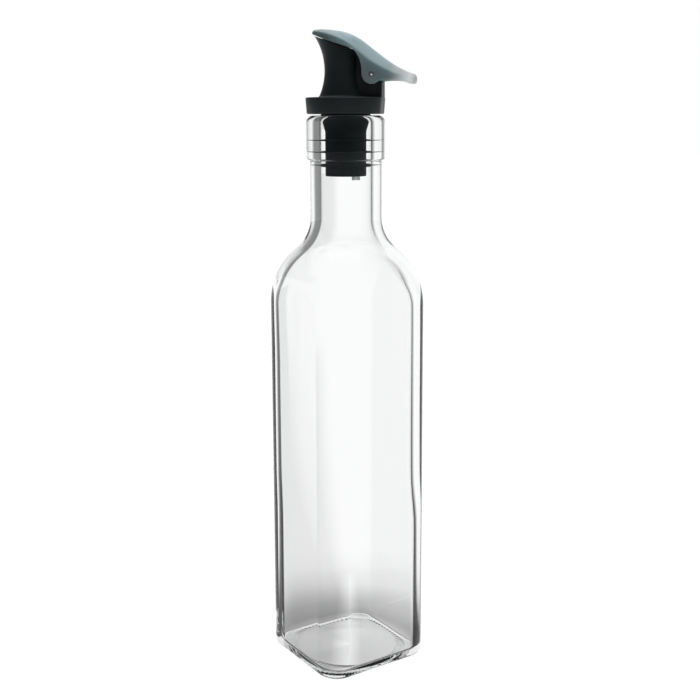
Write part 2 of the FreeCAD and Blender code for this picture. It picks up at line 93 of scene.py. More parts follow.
Socket = bpy.types.NodeSocket
Ring = list[Vector]
Colour = tuple[float, float, float]
Pair = tuple[float, float]
Stops = tuple[Pair, ...]


class Body(Enum):
    """The moving bodies of the part."""

    BOTTLE = "bottle"
    BUNG = "bung"
    POURER = "pourer"
    LID = "lid"


class Slot(Enum):
    """The part's material slots."""

    GLASS = "clear_glass"
    BLACK_PLASTIC = "black_plastic"
    BLACK_RUBBER = "black_rubber"
    GREY_PLASTIC = "grey_plastic"
    STEEL = "pin_steel"


class Change(Enum):
    """How one solid changes another."""

    ADD = "UNION"
    TAKE = "DIFFERENCE"


# Node trees


class Net:
    """A node tree with short ways to add and join nodes."""

    def __init__(self, tree: bpy.types.NodeTree) -> None:
        """Start with an empty tree.

        Args:
            tree: The tree of a material or of the world.
        """
        self.tree = tree
        self.tree.nodes.clear()

    def node(self, kind: str, **settings: object) -> bpy.types.Node:
        """Add a node.

        Args:
            kind: Its type, without the common prefix.
            settings: Properties of the node.

        Returns:
            The new node.
        """
        made = self.tree.nodes.new("ShaderNode" + kind)
        for name, value in settings.items():
            setattr(made, name, value)
        return made

    def join(self, source: Socket, target: Socket) -> None:
        """Link one socket to another."""
        self.tree.links.new(source, target)

    def feed(self, target: Socket, value: Socket | float | Colour) -> None:
        """Link a socket to an input, or set the input's own value.

        Args:
            target: The input.
            value: A socket, a number or a colour.
        """
        if isinstance(value, bpy.types.NodeSocket):
            self.join(value, target)
        else:
            target.default_value = (*value, 1.0) if isinstance(value, tuple) else value

    def work_out(self, operation: str, one: Socket | float, other: Socket | float = 0.0) -> Socket:
        """A number worked out from two others.

        Args:
            operation: What is done with them.
            one: The first number.
            other: The second number.

        Returns:
            The socket with the result.
        """
        step = self.node("Math", operation=operation)
        self.feed(step.inputs[0], one)
        self.feed(step.inputs[1], other)
        return step.outputs["Value"]

    def span(self, value: Socket, start: Pair, end: Pair) -> Socket:
        """A number that goes evenly from one end to another.

        Args:
            value: The socket that drives it.
            start: Driving value and result at the first end.
            end: Driving value and result at the second end.

        Returns:
            The socket with the result, held beyond the ends.
        """
        reach = self.node("MapRange")
        for name, number in zip(("From Min", "To Min", "From Max", "To Max"), (*start, *end)):
            reach.inputs[name].default_value = number
        self.join(value, reach.inputs["Value"])
        return reach.outputs["Result"]

    def along(self, place: Socket, axis: Vector) -> Socket:
        """How far a place or a direction goes along an axis.

        Args:
            place: The place or direction.
            axis: The axis.

        Returns:
            The socket with the distance, from -1 to 1 for a direction.
        """
        facing = self.node("VectorMath", operation="DOT_PRODUCT")
        self.join(place, facing.inputs[0])
        facing.inputs[1].default_value = axis.normalized()
        return facing.outputs["Value"]

    def bounced(self, path: bpy.types.Node, kind: str) -> Socket:
        """1 for light that has left a glossy or diffuse surface before, and else 0."""
        return self.work_out("GREATER_THAN", path.outputs[kind + " Depth"], ANY_BOUNCE)

    def choose(self, share: Socket | float, one: Socket | float, other: Socket | float) -> Socket:
        """A number between two others.

        Args:
            share: Share of the way, from 0 to 1.
            one: The number at 0.
            other: The number at 1.

        Returns:
            The socket with the result.
        """
        mix = self.node("Mix", data_type="FLOAT")
        for place, value in zip(MIX_INPUTS, (share, one, other)):
            self.feed(mix.inputs[place], value)
        return mix.outputs[0]

    def either(self, share: Socket | float, one: Socket, other: Socket) -> Socket:
        """A shader between two others.

        Args:
            share: Share of the way, from 0 to 1.
            one: The shader at 0.
            other: The shader at 1.

        Returns:
            The socket with the shader.
        """
        mix = self.node("MixShader")
        self.feed(mix.inputs["Fac"], share)
        self.join(one, mix.inputs[1])
        self.join(other, mix.inputs[2])
        return mix.outputs["Shader"]

    def ramp(self, value: Socket, stops: Sequence[tuple[float, Colour]]) -> Socket:
        """A colour along a row of stops.

        Args:
            value: The socket that drives it.
            stops: Places from 0 to 1 and their colours.

        Returns:
            The socket with the colour.
        """
        row = self.node("ValToRGB")
        ends = row.color_ramp.elements
        while len(ends) < len(stops):
            ends.new(0.5)
        for end, (position, colour) in zip(ends, stops):
            end.position = position
            end.color = (*colour, 1.0)
        self.join(value, row.inputs["Fac"])
        return row.outputs["Color"]


class Finish(Net):
    """A material's node tree around one Principled shader."""

    def __init__(self, name: str) -> None:
        """Start a material with an output and a Principled shader.

        Args:
            name: The material's name.
        """
        self.material = bpy.data.materials.new(name)
        self.material.use_nodes = True
        super().__init__(self.material.node_tree)
        self.output = self.node("OutputMaterial")
        self.shader = self.node("BsdfPrincipled")
        self.join(self.shader.outputs["BSDF"], self.output.inputs["Surface"])

    def constant(self, **values: float | Colour) -> None:
        """Set values on the shader's own sockets, named with underscores for spaces."""
        for name, value in values.items():
            self.feed(self.shader.inputs[name.replace("_", " ")], value)

    def drive(self, name: str, socket: Socket) -> None:
        """Link a socket to one of the shader's inputs."""
        self.join(socket, self.shader.inputs[name])

    def grain(self, scale: float, detail: float = 3.0, stretch: Colour = (1.0, 1.0, 1.0)) -> Socket:
        """Cloudy noise on the piece's own coordinates.

        Args:
            scale: Cells per metre.
            detail: Number of finer layers.
            stretch: Scale of the pattern along X, Y and Z.

        Returns:
            The socket with the noise, from 0 to 1.
        """
        place = self.node("TexCoord")
        mapping = self.node("Mapping")
        mapping.inputs["Scale"].default_value = stretch
        cloud = self.node("TexNoise")
        cloud.inputs["Scale"].default_value = scale
        cloud.inputs["Detail"].default_value = detail
        self.join(place.outputs["Object"], mapping.inputs["Vector"])
        self.join(mapping.outputs["Vector"], cloud.inputs["Vector"])
        return cloud.outputs["Fac"]

    def between(self, cloud: Socket, low: float, high: float) -> Socket:
        """A number that follows a noise from low to high."""
        return self.span(cloud, (CLOUD_LOW, low), (CLOUD_HIGH, high))

    def tint(self, cloud: Socket, dark: Colour, light: Colour) -> Socket:
        """A colour that follows a noise from dark to light."""
        return self.ramp(cloud, ((CLOUD_LOW, dark), (CLOUD_HIGH, light)))

    def relief(self, height: Socket, strength: float, depth: float) -> None:
        """Raise the surface's shading by a height.

        Args:
            height: The socket with the height, from 0 to 1.
            strength: Share of the effect.
            depth: Metres from lowest to highest.
        """
        bump = self.node("Bump")
        bump.inputs["Strength"].default_value = strength
        bump.inputs["Distance"].default_value = depth
        self.join(height, bump.inputs["Height"])
        self.join(bump.outputs["Normal"], self.shader.inputs["Normal"])


# Finishes


@dataclass(frozen=True)
class ClearGlass:
    """Clear moulded glass, faintly grey-green where it is thick."""

    tint: Colour = (0.994, 0.997, 0.996)
    clear: Colour = (1.0, 1.0, 1.0)
    index: float = 1.5
    absorbed: Colour = (0.60, 0.74, 0.70)
    density: float = 5.0
    glint: Colour = (0.15, 0.15, 0.15)
    wave_scale: float = 70.0
    wave_detail: float = 1.5
    wave_stretch: Colour = (1.0, 1.0, 0.3)
    wave_strength: float = 0.35
    wave_depth: float = 0.00012
    polish_scale: float = 40.0
    polish: Pair = (0.0, 0.012)
    lamp_share: float = 0.85

    def material(self) -> bpy.types.Material:
        """Make the glass.

        Returns:
            The new material.
        """
        finish = Finish("clear_moulded_glass")
        finish.constant(IOR=self.index, Transmission_Weight=1.0, Specular_Tint=self.glint)
        wave = finish.grain(self.wave_scale, self.wave_detail, self.wave_stretch)
        finish.drive("Base Color", finish.tint(wave, self.tint, self.clear))
        finish.drive("Roughness", finish.between(finish.grain(self.polish_scale), *self.polish))
        finish.relief(wave, self.wave_strength, self.wave_depth)
        self.let_lamps_through(finish)
        depth = finish.node("VolumeAbsorption")
        depth.inputs["Color"].default_value = (*self.absorbed, 1.0)
        depth.inputs["Density"].default_value = self.density
        finish.join(depth.outputs["Volume"], finish.output.inputs["Volume"])
        return finish.material

    def let_lamps_through(self, finish: Finish) -> None:
        """Let most of the lamps' light pass straight through the walls.

        Args:
            finish: The glass's node tree.
        """
        path = finish.node("LightPath")
        share = finish.work_out("MULTIPLY", path.outputs["Is Shadow Ray"], self.lamp_share)
        clear = finish.node("BsdfTransparent").outputs["BSDF"]
        surface = finish.either(share, finish.shader.outputs["BSDF"], clear)
        finish.join(surface, finish.output.inputs["Surface"])


@dataclass(frozen=True)
class MouldedPlastic:
    """A moulded plastic with a fine grain and soft changes of shade and gloss."""

    name: str
    dark: Colour
    light: Colour
    smooth: float
    rough: float
    shine: float = 0.5
    index: float = 1.47
    shade_scale: float = 130.0
    gloss_scale: float = 420.0
    grain_scale: float = 2600.0
    grain_detail: float = 2.0
    grain_strength: float = 0.25
    grain_depth: float = 0.00003
    glow: float = 0.0
    glow_depth: float = 0.002
    glow_spread: Colour = (0.9, 1.0, 1.0)

    def material(self) -> bpy.types.Material:
        """Make the plastic.

        Returns:
            The new material.
        """
        finish = Finish(self.name)
        finish.constant(IOR=self.index, Specular_IOR_Level=self.shine)
        if self.glow:
            finish.constant(Subsurface_Weight=self.glow, Subsurface_Scale=self.glow_depth)
            finish.shader.inputs["Subsurface Radius"].default_value = self.glow_spread
        self.colour(finish)
        finish.drive("Roughness", finish.between(finish.grain(self.gloss_scale), self.smooth, self.rough))
        grain = finish.grain(self.grain_scale, self.grain_detail)
        finish.relief(grain, self.grain_strength, self.grain_depth)
        return finish.material

    def colour(self, finish: Finish) -> None:
        """Give the plastic its shade."""
        finish.drive("Base Color", finish.tint(finish.grain(self.shade_scale), self.dark, self.light))


@dataclass(frozen=True)
class MilkyPlastic(MouldedPlastic):
    """A moulded plastic with painted shade at its nose, and a thin end that is clearer and paler, the pale
    partly a painted glow of light through it, in metres along the tail.
    """

    # Colour of the thin end: partly a painted glow of light shining through the thin plastic
    pale: Colour = (0.90, 0.94, 0.94)
    clear: float = 0.85
    clear_from: float = 0.0135
    clear_to: float = 0.0225
    # Painted shade that darkens the nose: its colour, where along the tail it begins, and where it is full
    painted_nose_shade: Colour = (0.15, 0.19, 0.195)
    painted_shade_from: float = 0.0015
    painted_shade_to: float = -0.0080
    grain_share: float = 0.5
    painted_shade_share: float = 0.25
    pale_share: float = 0.5
    tones: tuple[float, ...] = (0.2, 0.4, 0.6, 1.0)

    def colour(self, finish: Finish) -> None:
        """Give the plastic its tone, darkened at its nose by painted shade, and paler and clearer towards
        its thin end, the pale partly a painted glow of light through it.

        Args:
            finish: The plastic's node tree.
        """
        place = finish.along(finish.node("TexCoord").outputs["Object"], TAIL)
        share = finish.span(place, (self.clear_from, 0.0), (self.clear_to, 1.0))
        tone = finish.work_out("MULTIPLY", finish.grain(self.shade_scale), self.grain_share)
        # Painted shade: the tone falls towards the nose, down to the shade's colour
        out_of_painted_shade = finish.span(place, (self.painted_shade_to, 0.0), (self.painted_shade_from, self.painted_shade_share))
        tone = finish.work_out("ADD", tone, out_of_painted_shade)
        # Paler towards the thin end, partly a painted glow of light through it; the clear share below lets
        # real light through
        tone = finish.work_out("ADD", tone, finish.work_out("MULTIPLY", share, self.pale_share))
        colours = (self.painted_nose_shade, self.dark, self.light, self.pale)
        finish.drive("Base Color", finish.ramp(tone, list(zip(self.tones, colours))))
        finish.drive("Transmission Weight", finish.work_out("MULTIPLY", share, self.clear))


@dataclass(frozen=True)
class CutSteel:
    """Bright wire with drawn lines along it."""

    dark: Colour = (0.55, 0.55, 0.54)
    light: Colour = (0.82, 0.82, 0.80)
    line_scale: float = 3000.0
    line_detail: float = 2.0
    line_stretch: Colour = (1.0, 1.0, 6.0)
    line_strength: float = 0.2
    line_depth: float = 0.00002
    smooth: float = 0.18
    rough: float = 0.34

    def material(self) -> bpy.types.Material:
        """Make the steel.

        Returns:
            The new material.
        """
        finish = Finish("cut_steel_wire")
        finish.constant(Metallic=1.0)
        lines = finish.grain(self.line_scale, self.line_detail, self.line_stretch)
        finish.drive("Base Color", finish.tint(lines, self.dark, self.light))
        finish.drive("Roughness", finish.between(lines, self.smooth, self.rough))
        finish.relief(lines, self.line_strength, self.line_depth)
        return finish.material


SATIN_BLACK = MouldedPlastic(
    "satin_black_plastic", (0.020, 0.027, 0.030), (0.028, 0.037, 0.041), 0.38, 0.50, shine=0.22)
# The sleeve's black is partly the rubber's own lighter black and partly painted light, raised to stand in
# for lamp light that the glass keeps off the bung
SOFT_BLACK = MouldedPlastic(
    "soft_black_rubber", (0.040, 0.052, 0.055), (0.056, 0.070, 0.075), 0.55, 0.72, shine=0.15)
SEAL_BLACK = MouldedPlastic("seal_rubber_dark", (0.022, 0.022, 0.024), (0.032, 0.032, 0.034), 0.5, 0.65)
VENT_CLEAR = MilkyPlastic(
    "vent_tube_plastic", (0.70, 0.71, 0.71), (0.78, 0.79, 0.79), 0.35, 0.45,
    glow=0.5, clear_from=-0.05, clear_to=-0.04)
# The lid's colour carries painted shade at its nose and a painted glow at its thin tail end
LID_GREY = MilkyPlastic(
    "smoke_grey_lid", (0.335, 0.465, 0.505), (0.375, 0.51, 0.55), 0.30, 0.40,
    grain_strength=0.12, glow=0.85, glow_depth=0.006)


# Mesh building


class Skin:
    """A surface laid over rings of points, ring after ring, in millimetres."""

    def __init__(self) -> None:
        """Start with no points and no faces."""
        self.points: list[Vector] = []
        self.faces: list[tuple[int, ...]] = []
        self.last: list[int] = []
        self.first: list[int] = []

    def add(self, ring: Iterable[Vector]) -> None:
        """Add a ring and the faces that join it to the ring before.

        Args:
            ring: Its points in order, or a single point for a pole.
        """
        start = len(self.points)
        self.points.extend(ring)
        indices = list(range(start, len(self.points)))
        if self.last:
            self.bridge(self.last, indices)
        else:
            self.first = indices
        self.last = indices

    def bridge(self, one: list[int], other: list[int]) -> None:
        """Join two rings with quads, or a ring and a pole with triangles.

        Args:
            one: Indices of the first ring's points.
            other: Indices of the second ring's points.
        """
        count = max(len(one), len(other))
        for step in range(count):
            after = (step + 1) % count
            if len(one) == 1:
                self.faces.append((one[0], other[after], other[step]))
            elif len(other) == 1:
                self.faces.append((one[step], one[after], other[0]))
            else:
                self.faces.append((one[step], one[after], other[after], other[step]))

    def close(self) -> None:
        """Join the last ring to the first."""
        self.bridge(self.last, self.first)

    def cap(self) -> None:
        """Close the first and the last ring with a face each."""
        self.faces.append(tuple(reversed(self.first)))
        self.faces.append(tuple(self.last))

    def mesh(self, name: str, heading: float = 0.0, bevel: float = 0.0) -> bpy.types.Mesh:
        """Make a mesh in metres with its normals outwards and smooth shading.

        Args:
            name: The mesh's name.
            heading: Degrees that it is turned by about the bottle's axis.
            bevel: Millimetres that its edges are rounded by.

        Returns:
            The new mesh.
        """
        turn = Matrix.Rotation(math.radians(heading), 3, "Z") * MM
        data = bpy.data.meshes.new(name)
        data.from_pydata([turn @ point for point in self.points], [], self.faces)
        work = bmesh.new()
        work.from_mesh(data)
        bmesh.ops.recalc_face_normals(work, faces=work.faces)
        if bevel:
            bmesh.ops.bevel(
                work, geom=work.edges[:], offset=bevel * MM, segments=BEVEL_BANDS, profile=BEVEL_ROUND,
                affect="EDGES")
        work.to_mesh(data)
        work.free()
        data.shade_smooth()
        return data


def combine(mesh: bpy.types.Mesh, tool: bpy.types.Mesh, change: Change) -> bpy.types.Mesh:
    """Join one solid to another, or cut it out.

    Args:
        mesh: The solid that is changed.
        tool: The solid that changes it, which is used up.
        change: What is done.

    Returns:
        The changed mesh, under the first one's name.
    """
    name = mesh.name
    solids = [bpy.data.objects.new(data.name, data) for data in (mesh, tool)]
    for solid in solids:
        bpy.context.scene.collection.objects.link(solid)
    modifier = solids[0].modifiers.new("change", "BOOLEAN")
    modifier.operation = change.value
    modifier.solver = "EXACT"
    modifier.object = solids[1]
    view = bpy.context.evaluated_depsgraph_get()
    result = bpy.data.meshes.new_from_object(solids[0].evaluated_get(view))
    for solid in solids:
        bpy.data.objects.remove(solid)
    for data in (mesh, tool):
        bpy.data.meshes.remove(data)
    result.name = name
    result.shade_smooth()
    return result


def new_piece(mesh: bpy.types.Mesh, body: Body, material: bpy.types.Material) -> bpy.types.Object:
    """Put a mesh in the scene as a piece of the part.

    Args:
        mesh: The piece's mesh, in the part's frame.
        body: The body that it moves with.
        material: Its material.

    Returns:
        The new object.
    """
    piece = bpy.data.objects.new(mesh.name, mesh)
    bpy.context.scene.collection.objects.link(piece)
    mesh.materials.clear()
    mesh.materials.append(material)
    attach(piece, body.value)
    LOG.info("made %s on %s", piece.name, body.value)
    return piece


def crease(piece: bpy.types.Object, degrees: float) -> None:
    """Keep the edges that bend by more than an angle crisp."""
    piece.data.set_sharp_from_angle(angle=math.radians(degrees))


def turns(count: int) -> list[float]:
    """Angles of an even ring, in radians."""
    return [2.0 * math.pi * step / count for step in range(count)]


def quarter(steps: int) -> list[float]:
    """Angles from 0 to a right angle, in radians."""
    return [math.pi / 2.0 * step / steps for step in range(steps + 1)]


def shares(steps: int) -> list[float]:
    """Even shares from just above 0 up to 1."""
    return [(step + 1) / steps for step in range(steps)]


def blend(low: float, high: float, share: float) -> float:
    """The number at a share of the way from one to another."""
    return low + (high - low) * share


def ease(value: float, low: float, high: float) -> float:
    """A smooth step from 0 at low to 1 at high."""
    share = min(1.0, max(0.0, (value - low) / (high - low)))
    return share * share * (3.0 - 2.0 * share)


def bow(radius: float, along: float) -> float:
    """How far an arc has left its tangent, at a length along the tangent."""
    return radius - math.sqrt(radius ** 2 - along ** 2)


class Curve:
    """A smooth curve of a number over a place, through given points."""

    def __init__(self, places: Sequence[float], values: Sequence[float]) -> None:
        """Work out the slopes at the points.

        Args:
            places: Rising places.
            values: The number at each place.
        """
        self.places = list(places)
        self.values = list(values)
        self.slopes = [self.slope(index) for index in range(len(self.places))]

    def slope(self, index: int) -> float:
        """The slope at a point, from its neighbours.

        Args:
            index: The point's number.

        Returns:
            The slope.
        """
        before = max(0, index - 1)
        after = min(len(self.places) - 1, index + 1)
        return (self.values[after] - self.values[before]) / (self.places[after] - self.places[before])

    def at(self, place: float) -> float:
        """The number at a place, kept at its end value outside the points.

        Args:
            place: The place.

        Returns:
            The number.
        """
        if place <= self.places[0]:
            return self.values[0]
        for index in range(1, len(self.places)):
            if place <= self.places[index]:
                return self.inside(index, place)
        return self.values[-1]

    def inside(self, index: int, place: float) -> float:
        """The number in the stretch that ends at a point.

        Args:
            index: The point's number.
            place: The place.

        Returns:
            The number.
        """
        start, end = self.places[index - 1], self.places[index]
        span = end - start
        s = (place - start) / span
        low, high = self.values[index - 1], self.values[index]
        rise = span * self.slopes[index - 1] * s * (1.0 - s) ** 2
        fall = span * self.slopes[index] * s * s * (s - 1.0)
        return low * (1.0 + 2.0 * s) * (1.0 - s) ** 2 + high * s * s * (3.0 - 2.0 * s) + rise + fall


class Arc:
    """A circle's arc through three points of a side view, read by its place along X."""

    def __init__(self, start: Sequence[float], middle: Sequence[float], end: Sequence[float]) -> None:
        """Find the circle.

        Args:
            start: Place and height of the first end.
            middle: A point between the ends.
            end: Place and height of the second end.
        """
        (ax, az), (bx, bz), (cx, cz) = start, middle, end
        turn = 2.0 * (ax * (bz - cz) + bx * (cz - az) + cx * (az - bz))
        a, b, c = ax * ax + az * az, bx * bx + bz * bz, cx * cx + cz * cz
        self.x = (a * (bz - cz) + b * (cz - az) + c * (az - bz)) / turn
        self.z = (a * (cx - bx) + b * (ax - cx) + c * (bx - ax)) / turn
        self.radius = math.hypot(bx - self.x, bz - self.z)
        self.side = 1.0 if bz > self.z else -1.0

    def at(self, x: float) -> float:
        """Height of the arc at a place."""
        inside = max(0.0, self.radius ** 2 - (x - self.x) ** 2)
        return self.z + self.side * math.sqrt(inside)


# The glass bottle


@dataclass
class GlassBottle:
    """The bottle's one piece of glass, with sizes in millimetres."""

    height: float = 209.0
    base_half: float = 23.45
    shoulder_half: float = 23.1
    corner: float = 8.6
    wall: float = 2.8
    inner_corner: float = 8.0
    body_corners: tuple[float, ...] = (8.0, 8.6, 7.3, 8.0)
    foot_corners: tuple[float, ...] = (7.0, 9.5, 7.3, 6.0)
    corner_change: Pair = (55.0, 75.0)
    corner_settle: float = 20.0
    heel: float = 2.0
    inner_heel: float = 2.0
    base_thickness: float = 2.0
    bearing: float = 5.45
    push_up: float = 2.2
    neck_radius: float = 13.15
    neck_length: float = 36.5
    bore_radius: float = 9.25
    flare: float = 15.0
    side_slope: float = 46.0
    corner_slope: float = 52.0
    finish_radius: float = 14.4
    finish_height: float = 15.8
    finish_top: float = 2.4
    finish_foot: float = 0.8
    mouth: float = 0.8
    rib_count: int = 96
    rib_depth: float = 0.35
    points_round: int = 384
    crowding: float = 0.45
    wave: float = 0.10
    outer_wave: float = 0.4
    bore_wave: float = 0.3
    wave_round: float = 1.3
    wave_rise: float = 0.022
    rib_rows: Stops = ((0.04, 0.0), (0.12, 1.0), (0.25, 1.0), (0.38, 1.0), (0.46, 0.0), (1.0, 0.0))
    floor_rounded: float = 0.7

    # Numbers of rings
    floor_rings: int = 20
    heel_rings: int = 6
    body_rings: int = 24
    shoulder_rings: int = 40
    neck_rings: int = 4
    edge_rings: int = 5
    round_rings: int = 8
    bore_rings: int = 7
    inside_rings: int = 28
    skin: Skin = field(default_factory=Skin)

    def __post_init__(self) -> None:
        """Work out the angles of the points round the bottle, closer at the corners."""
        even = turns(self.points_round)
        self.angles = [turn + self.crowding / 4.0 * math.sin(4.0 * turn) for turn in even]
        self.neck_foot = self.height - self.neck_length
        self.push_up_radius = self.base_half - self.bearing

    def push_up_at(self, radius: float) -> float:
        """Height of the push-up at a distance from the axis, level at its middle and at its edge."""
        share = min(1.0, radius / self.push_up_radius)
        return self.push_up * (1.0 - share * share) ** 2

    @staticmethod
    def reach_at(half: float, corner: float, angle: float) -> float:
        """Distance from the axis to a rounded square, in a direction.

        Args:
            half: Half its width over the flats.
            corner: Its corner radius, as large as half for a circle.
            angle: The direction.

        Returns:
            The distance.
        """
        along, across = abs(math.cos(angle)), abs(math.sin(angle))
        straight = half - corner
        large, small = max(along, across), min(along, across)
        if small * half <= straight * large:
            return half / large
        inside = corner ** 2 - (straight * (along - across)) ** 2
        return straight * (along + across) + math.sqrt(max(0.0, inside))

    def reach(self, half: float, corner: float | tuple[float, ...], angle: float) -> float:
        """Distance from the axis to a rounded square whose four corners may differ.

        Args:
            half: Half its width over the flats.
            corner: Its corner radius, or one for each quadrant.
            angle: The direction.

        Returns:
            The distance.
        """
        if isinstance(corner, tuple):
            corner = corner[int(angle // (math.pi / 2.0)) % len(corner)]
        return self.reach_at(half, corner, angle)

    def corners_at(self, z: float, top: float) -> tuple[float, ...]:
        """Inner corner radii at a height, which differ a little as in any moulded bottle.

        Args:
            z: The height.
            top: Height of the shoulder's foot, where they are still alike.

        Returns:
            One radius for each quadrant.
        """
        settled = ease(top - z, 0.0, self.corner_settle)
        raised = ease(z, *self.corner_change)
        return tuple(
            blend(self.inner_corner, blend(foot, body, raised), settled)
            for body, foot in zip(self.body_corners, self.foot_corners))

    def ring(
            self, half: float, corner: float | tuple[float, ...], z: float,
            wave: float = 0.0, rib: float = 0.0,
    ) -> None:
        """Lay one level ring.

        Args:
            half: Half the width over the flats.
            corner: Corner radius, or one for each quadrant.
            z: Height.
            wave: How far the wall wanders in and out.
            rib: How deep the ribs of the bearing ring are cut.
        """
        points = []
        for step, angle in enumerate(self.angles):
            radius = self.reach(half, corner, angle)
            if wave:
                across, depth = self.wave_round * math.cos(angle), self.wave_round * math.sin(angle)
                radius += wave * noise.noise(Vector((across, depth, self.wave_rise * z)))
            cut = rib * (0.5 + 0.5 * math.cos(math.tau * step * self.rib_count / self.points_round))
            points.append(Vector((radius * math.cos(angle), radius * math.sin(angle), z + cut)))
        self.skin.add(points)

    def round_ring(self, radius: float, z: float) -> None:
        """Lay one round ring."""
        self.ring(radius, radius, z)

    def bent(
            self, start: float, end: float, concave: float, slope_deg: float,
    ) -> tuple[Callable[[float], float], float]:
        """Two arcs that meet smoothly, from a neck radius out to a body radius.

        Args:
            start: Radius at the top.
            end: Radius at the foot.
            concave: Radius of the upper arc.
            slope_deg: Slope where the arcs meet.

        Returns:
            The radius as a function of the drop, and the whole drop.
        """
        slope = math.radians(slope_deg)
        convex = (end - start) / (1.0 - math.cos(slope)) - concave
        bend = concave * math.sin(slope)
        total = (concave + convex) * math.sin(slope)

        def radius(drop: float) -> float:
            """The radius at a drop below the neck.

            Args:
                drop: The drop.

            Returns:
                The radius.
            """
            if drop <= 0.0:
                return start
            if drop < bend:
                return start + bow(concave, drop)
            if drop < total:
                return end - bow(convex, total - drop)
            return end

        return radius, total

    def shoulder(
            self, half: float, corner: float, neck: float, flare: float,
    ) -> list[tuple[float, float, float]]:
        """Levels of a shoulder, from the neck's foot down.

        Args:
            half: Half the body's width at the shoulder.
            corner: The body's corner radius.
            neck: The neck's radius.
            flare: Radius of the bend under the neck.

        Returns:
            Half-width, corner radius and height of each level.
        """
        side, _ = self.bent(neck, half, flare, self.side_slope)
        diagonal, drop = self.bent(neck, ROOT_TWO * (half - corner) + corner, flare, self.corner_slope)
        levels = []
        for step in range(self.shoulder_rings + 1):
            down = drop * step / self.shoulder_rings
            level_half, reach = side(down), diagonal(down)
            level_corner = (ROOT_TWO * level_half - reach) / (ROOT_TWO - 1.0)
            levels.append((level_half, min(level_corner, level_half), self.neck_foot - down))
        return levels

    def lay_foot(self) -> None:
        """Lay the push-up, the ribbed bearing ring and the heel."""
        self.skin.add([Vector((0.0, 0.0, self.push_up))])
        for share in shares(self.floor_rings):
            radius = self.push_up_radius * share
            self.round_ring(radius, self.push_up_at(radius))
        flat_half, flat_corner = self.base_half - self.heel, self.corner - self.heel
        for share, rib in self.rib_rows:
            half = blend(self.push_up_radius, flat_half, share)
            self.ring(half, blend(self.push_up_radius, flat_corner, share), 0.0, rib=rib * self.rib_depth)
        for turn in quarter(self.heel_rings)[1:]:
            out = self.heel * math.sin(turn)
            self.ring(flat_half + out, flat_corner + out, self.heel * (1.0 - math.cos(turn)))

    def lay_outside(self) -> None:
        """Lay the body, the shoulder and the neck."""
        rise = self.shoulder(self.shoulder_half, self.corner, self.neck_radius, self.flare)[::-1]
        top = rise[0][2]
        wave = self.outer_wave * self.wave
        for share in shares(self.body_rings)[:-1]:
            half = blend(self.base_half, self.shoulder_half, share)
            self.ring(half, self.corner, blend(self.heel, top, share), wave=wave)
        for half, corner, z in rise:
            self.ring(half, corner, z)

    def lay_mouth(self) -> None:
        """Lay the neck's band, with a rounded top, a small foot and a hollow under it."""
        band_foot = self.height - self.finish_height
        hollow = self.finish_radius - self.neck_radius - self.finish_foot
        for share in shares(self.neck_rings)[:-1]:
            self.round_ring(self.neck_radius, blend(self.neck_foot, band_foot - hollow, share))
        for turn in quarter(self.neck_rings):
            out = self.neck_radius + hollow * (1.0 - math.cos(turn))
            self.round_ring(out, band_foot - hollow * (1.0 - math.sin(turn)))
        for turn in quarter(self.edge_rings)[1:]:
            out = self.finish_radius - self.finish_foot * (1.0 - math.sin(turn))
            self.round_ring(out, band_foot + self.finish_foot * (1.0 - math.cos(turn)))
        for share in shares(self.edge_rings)[:-1]:
            z = blend(band_foot + self.finish_foot, self.height - self.finish_top, share)
            self.round_ring(self.finish_radius, z)
        for turn in quarter(self.round_rings):
            out = self.finish_radius - self.finish_top * (1.0 - math.cos(turn))
            self.round_ring(out, self.height - self.finish_top * (1.0 - math.sin(turn)))

    def lay_inside(self) -> None:
        """Lay the rim, the bore, the inner shoulder, the inner walls and the inner floor."""
        for turn in quarter(self.edge_rings):
            out = self.bore_radius + self.mouth * (1.0 - math.sin(turn))
            self.round_ring(out, self.height - self.mouth * (1.0 - math.cos(turn)))
        for share in shares(self.bore_rings)[:-1]:
            z = blend(self.height - self.mouth, self.neck_foot, share)
            self.ring(self.bore_radius, self.bore_radius, z, wave=self.bore_wave * self.wave)
        half = self.shoulder_half - self.wall
        flare = self.flare + self.neck_radius - self.bore_radius
        fall = self.shoulder(half, self.inner_corner, self.bore_radius, flare)
        for level_half, corner, z in fall:
            share = (self.neck_foot - z) / (self.neck_foot - fall[-1][2])
            self.ring(level_half, corner, z, wave=self.wave * blend(self.bore_wave, 1.0, share))
        foot = self.base_thickness + self.inner_heel
        floor_half = self.base_half - self.wall
        for share in shares(self.inside_rings)[:-1]:
            z = blend(fall[-1][2], foot, share)
            self.ring(blend(half, floor_half, share), self.corners_at(z, fall[-1][2]), z, wave=self.wave)
        for turn in quarter(self.round_rings):
            draw = self.inner_heel * (1.0 - math.cos(turn))
            level = foot - self.inner_heel * math.sin(turn)
            self.floor_ring(floor_half - draw, tuple(corner - draw for corner in self.foot_corners), level)
        last_half = floor_half - self.inner_heel
        last_corners = [corner - self.inner_heel for corner in self.foot_corners]
        for share in shares(self.floor_rings)[:-1]:
            inner = last_half * (1.0 - share)
            rounder = ease(share, 0.0, self.floor_rounded)
            corners = tuple(blend(corner, last_half, rounder) * (1.0 - share) for corner in last_corners)
            self.floor_ring(inner, corners, self.base_thickness)
        self.skin.add([Vector((0.0, 0.0, self.push_up + self.base_thickness))])

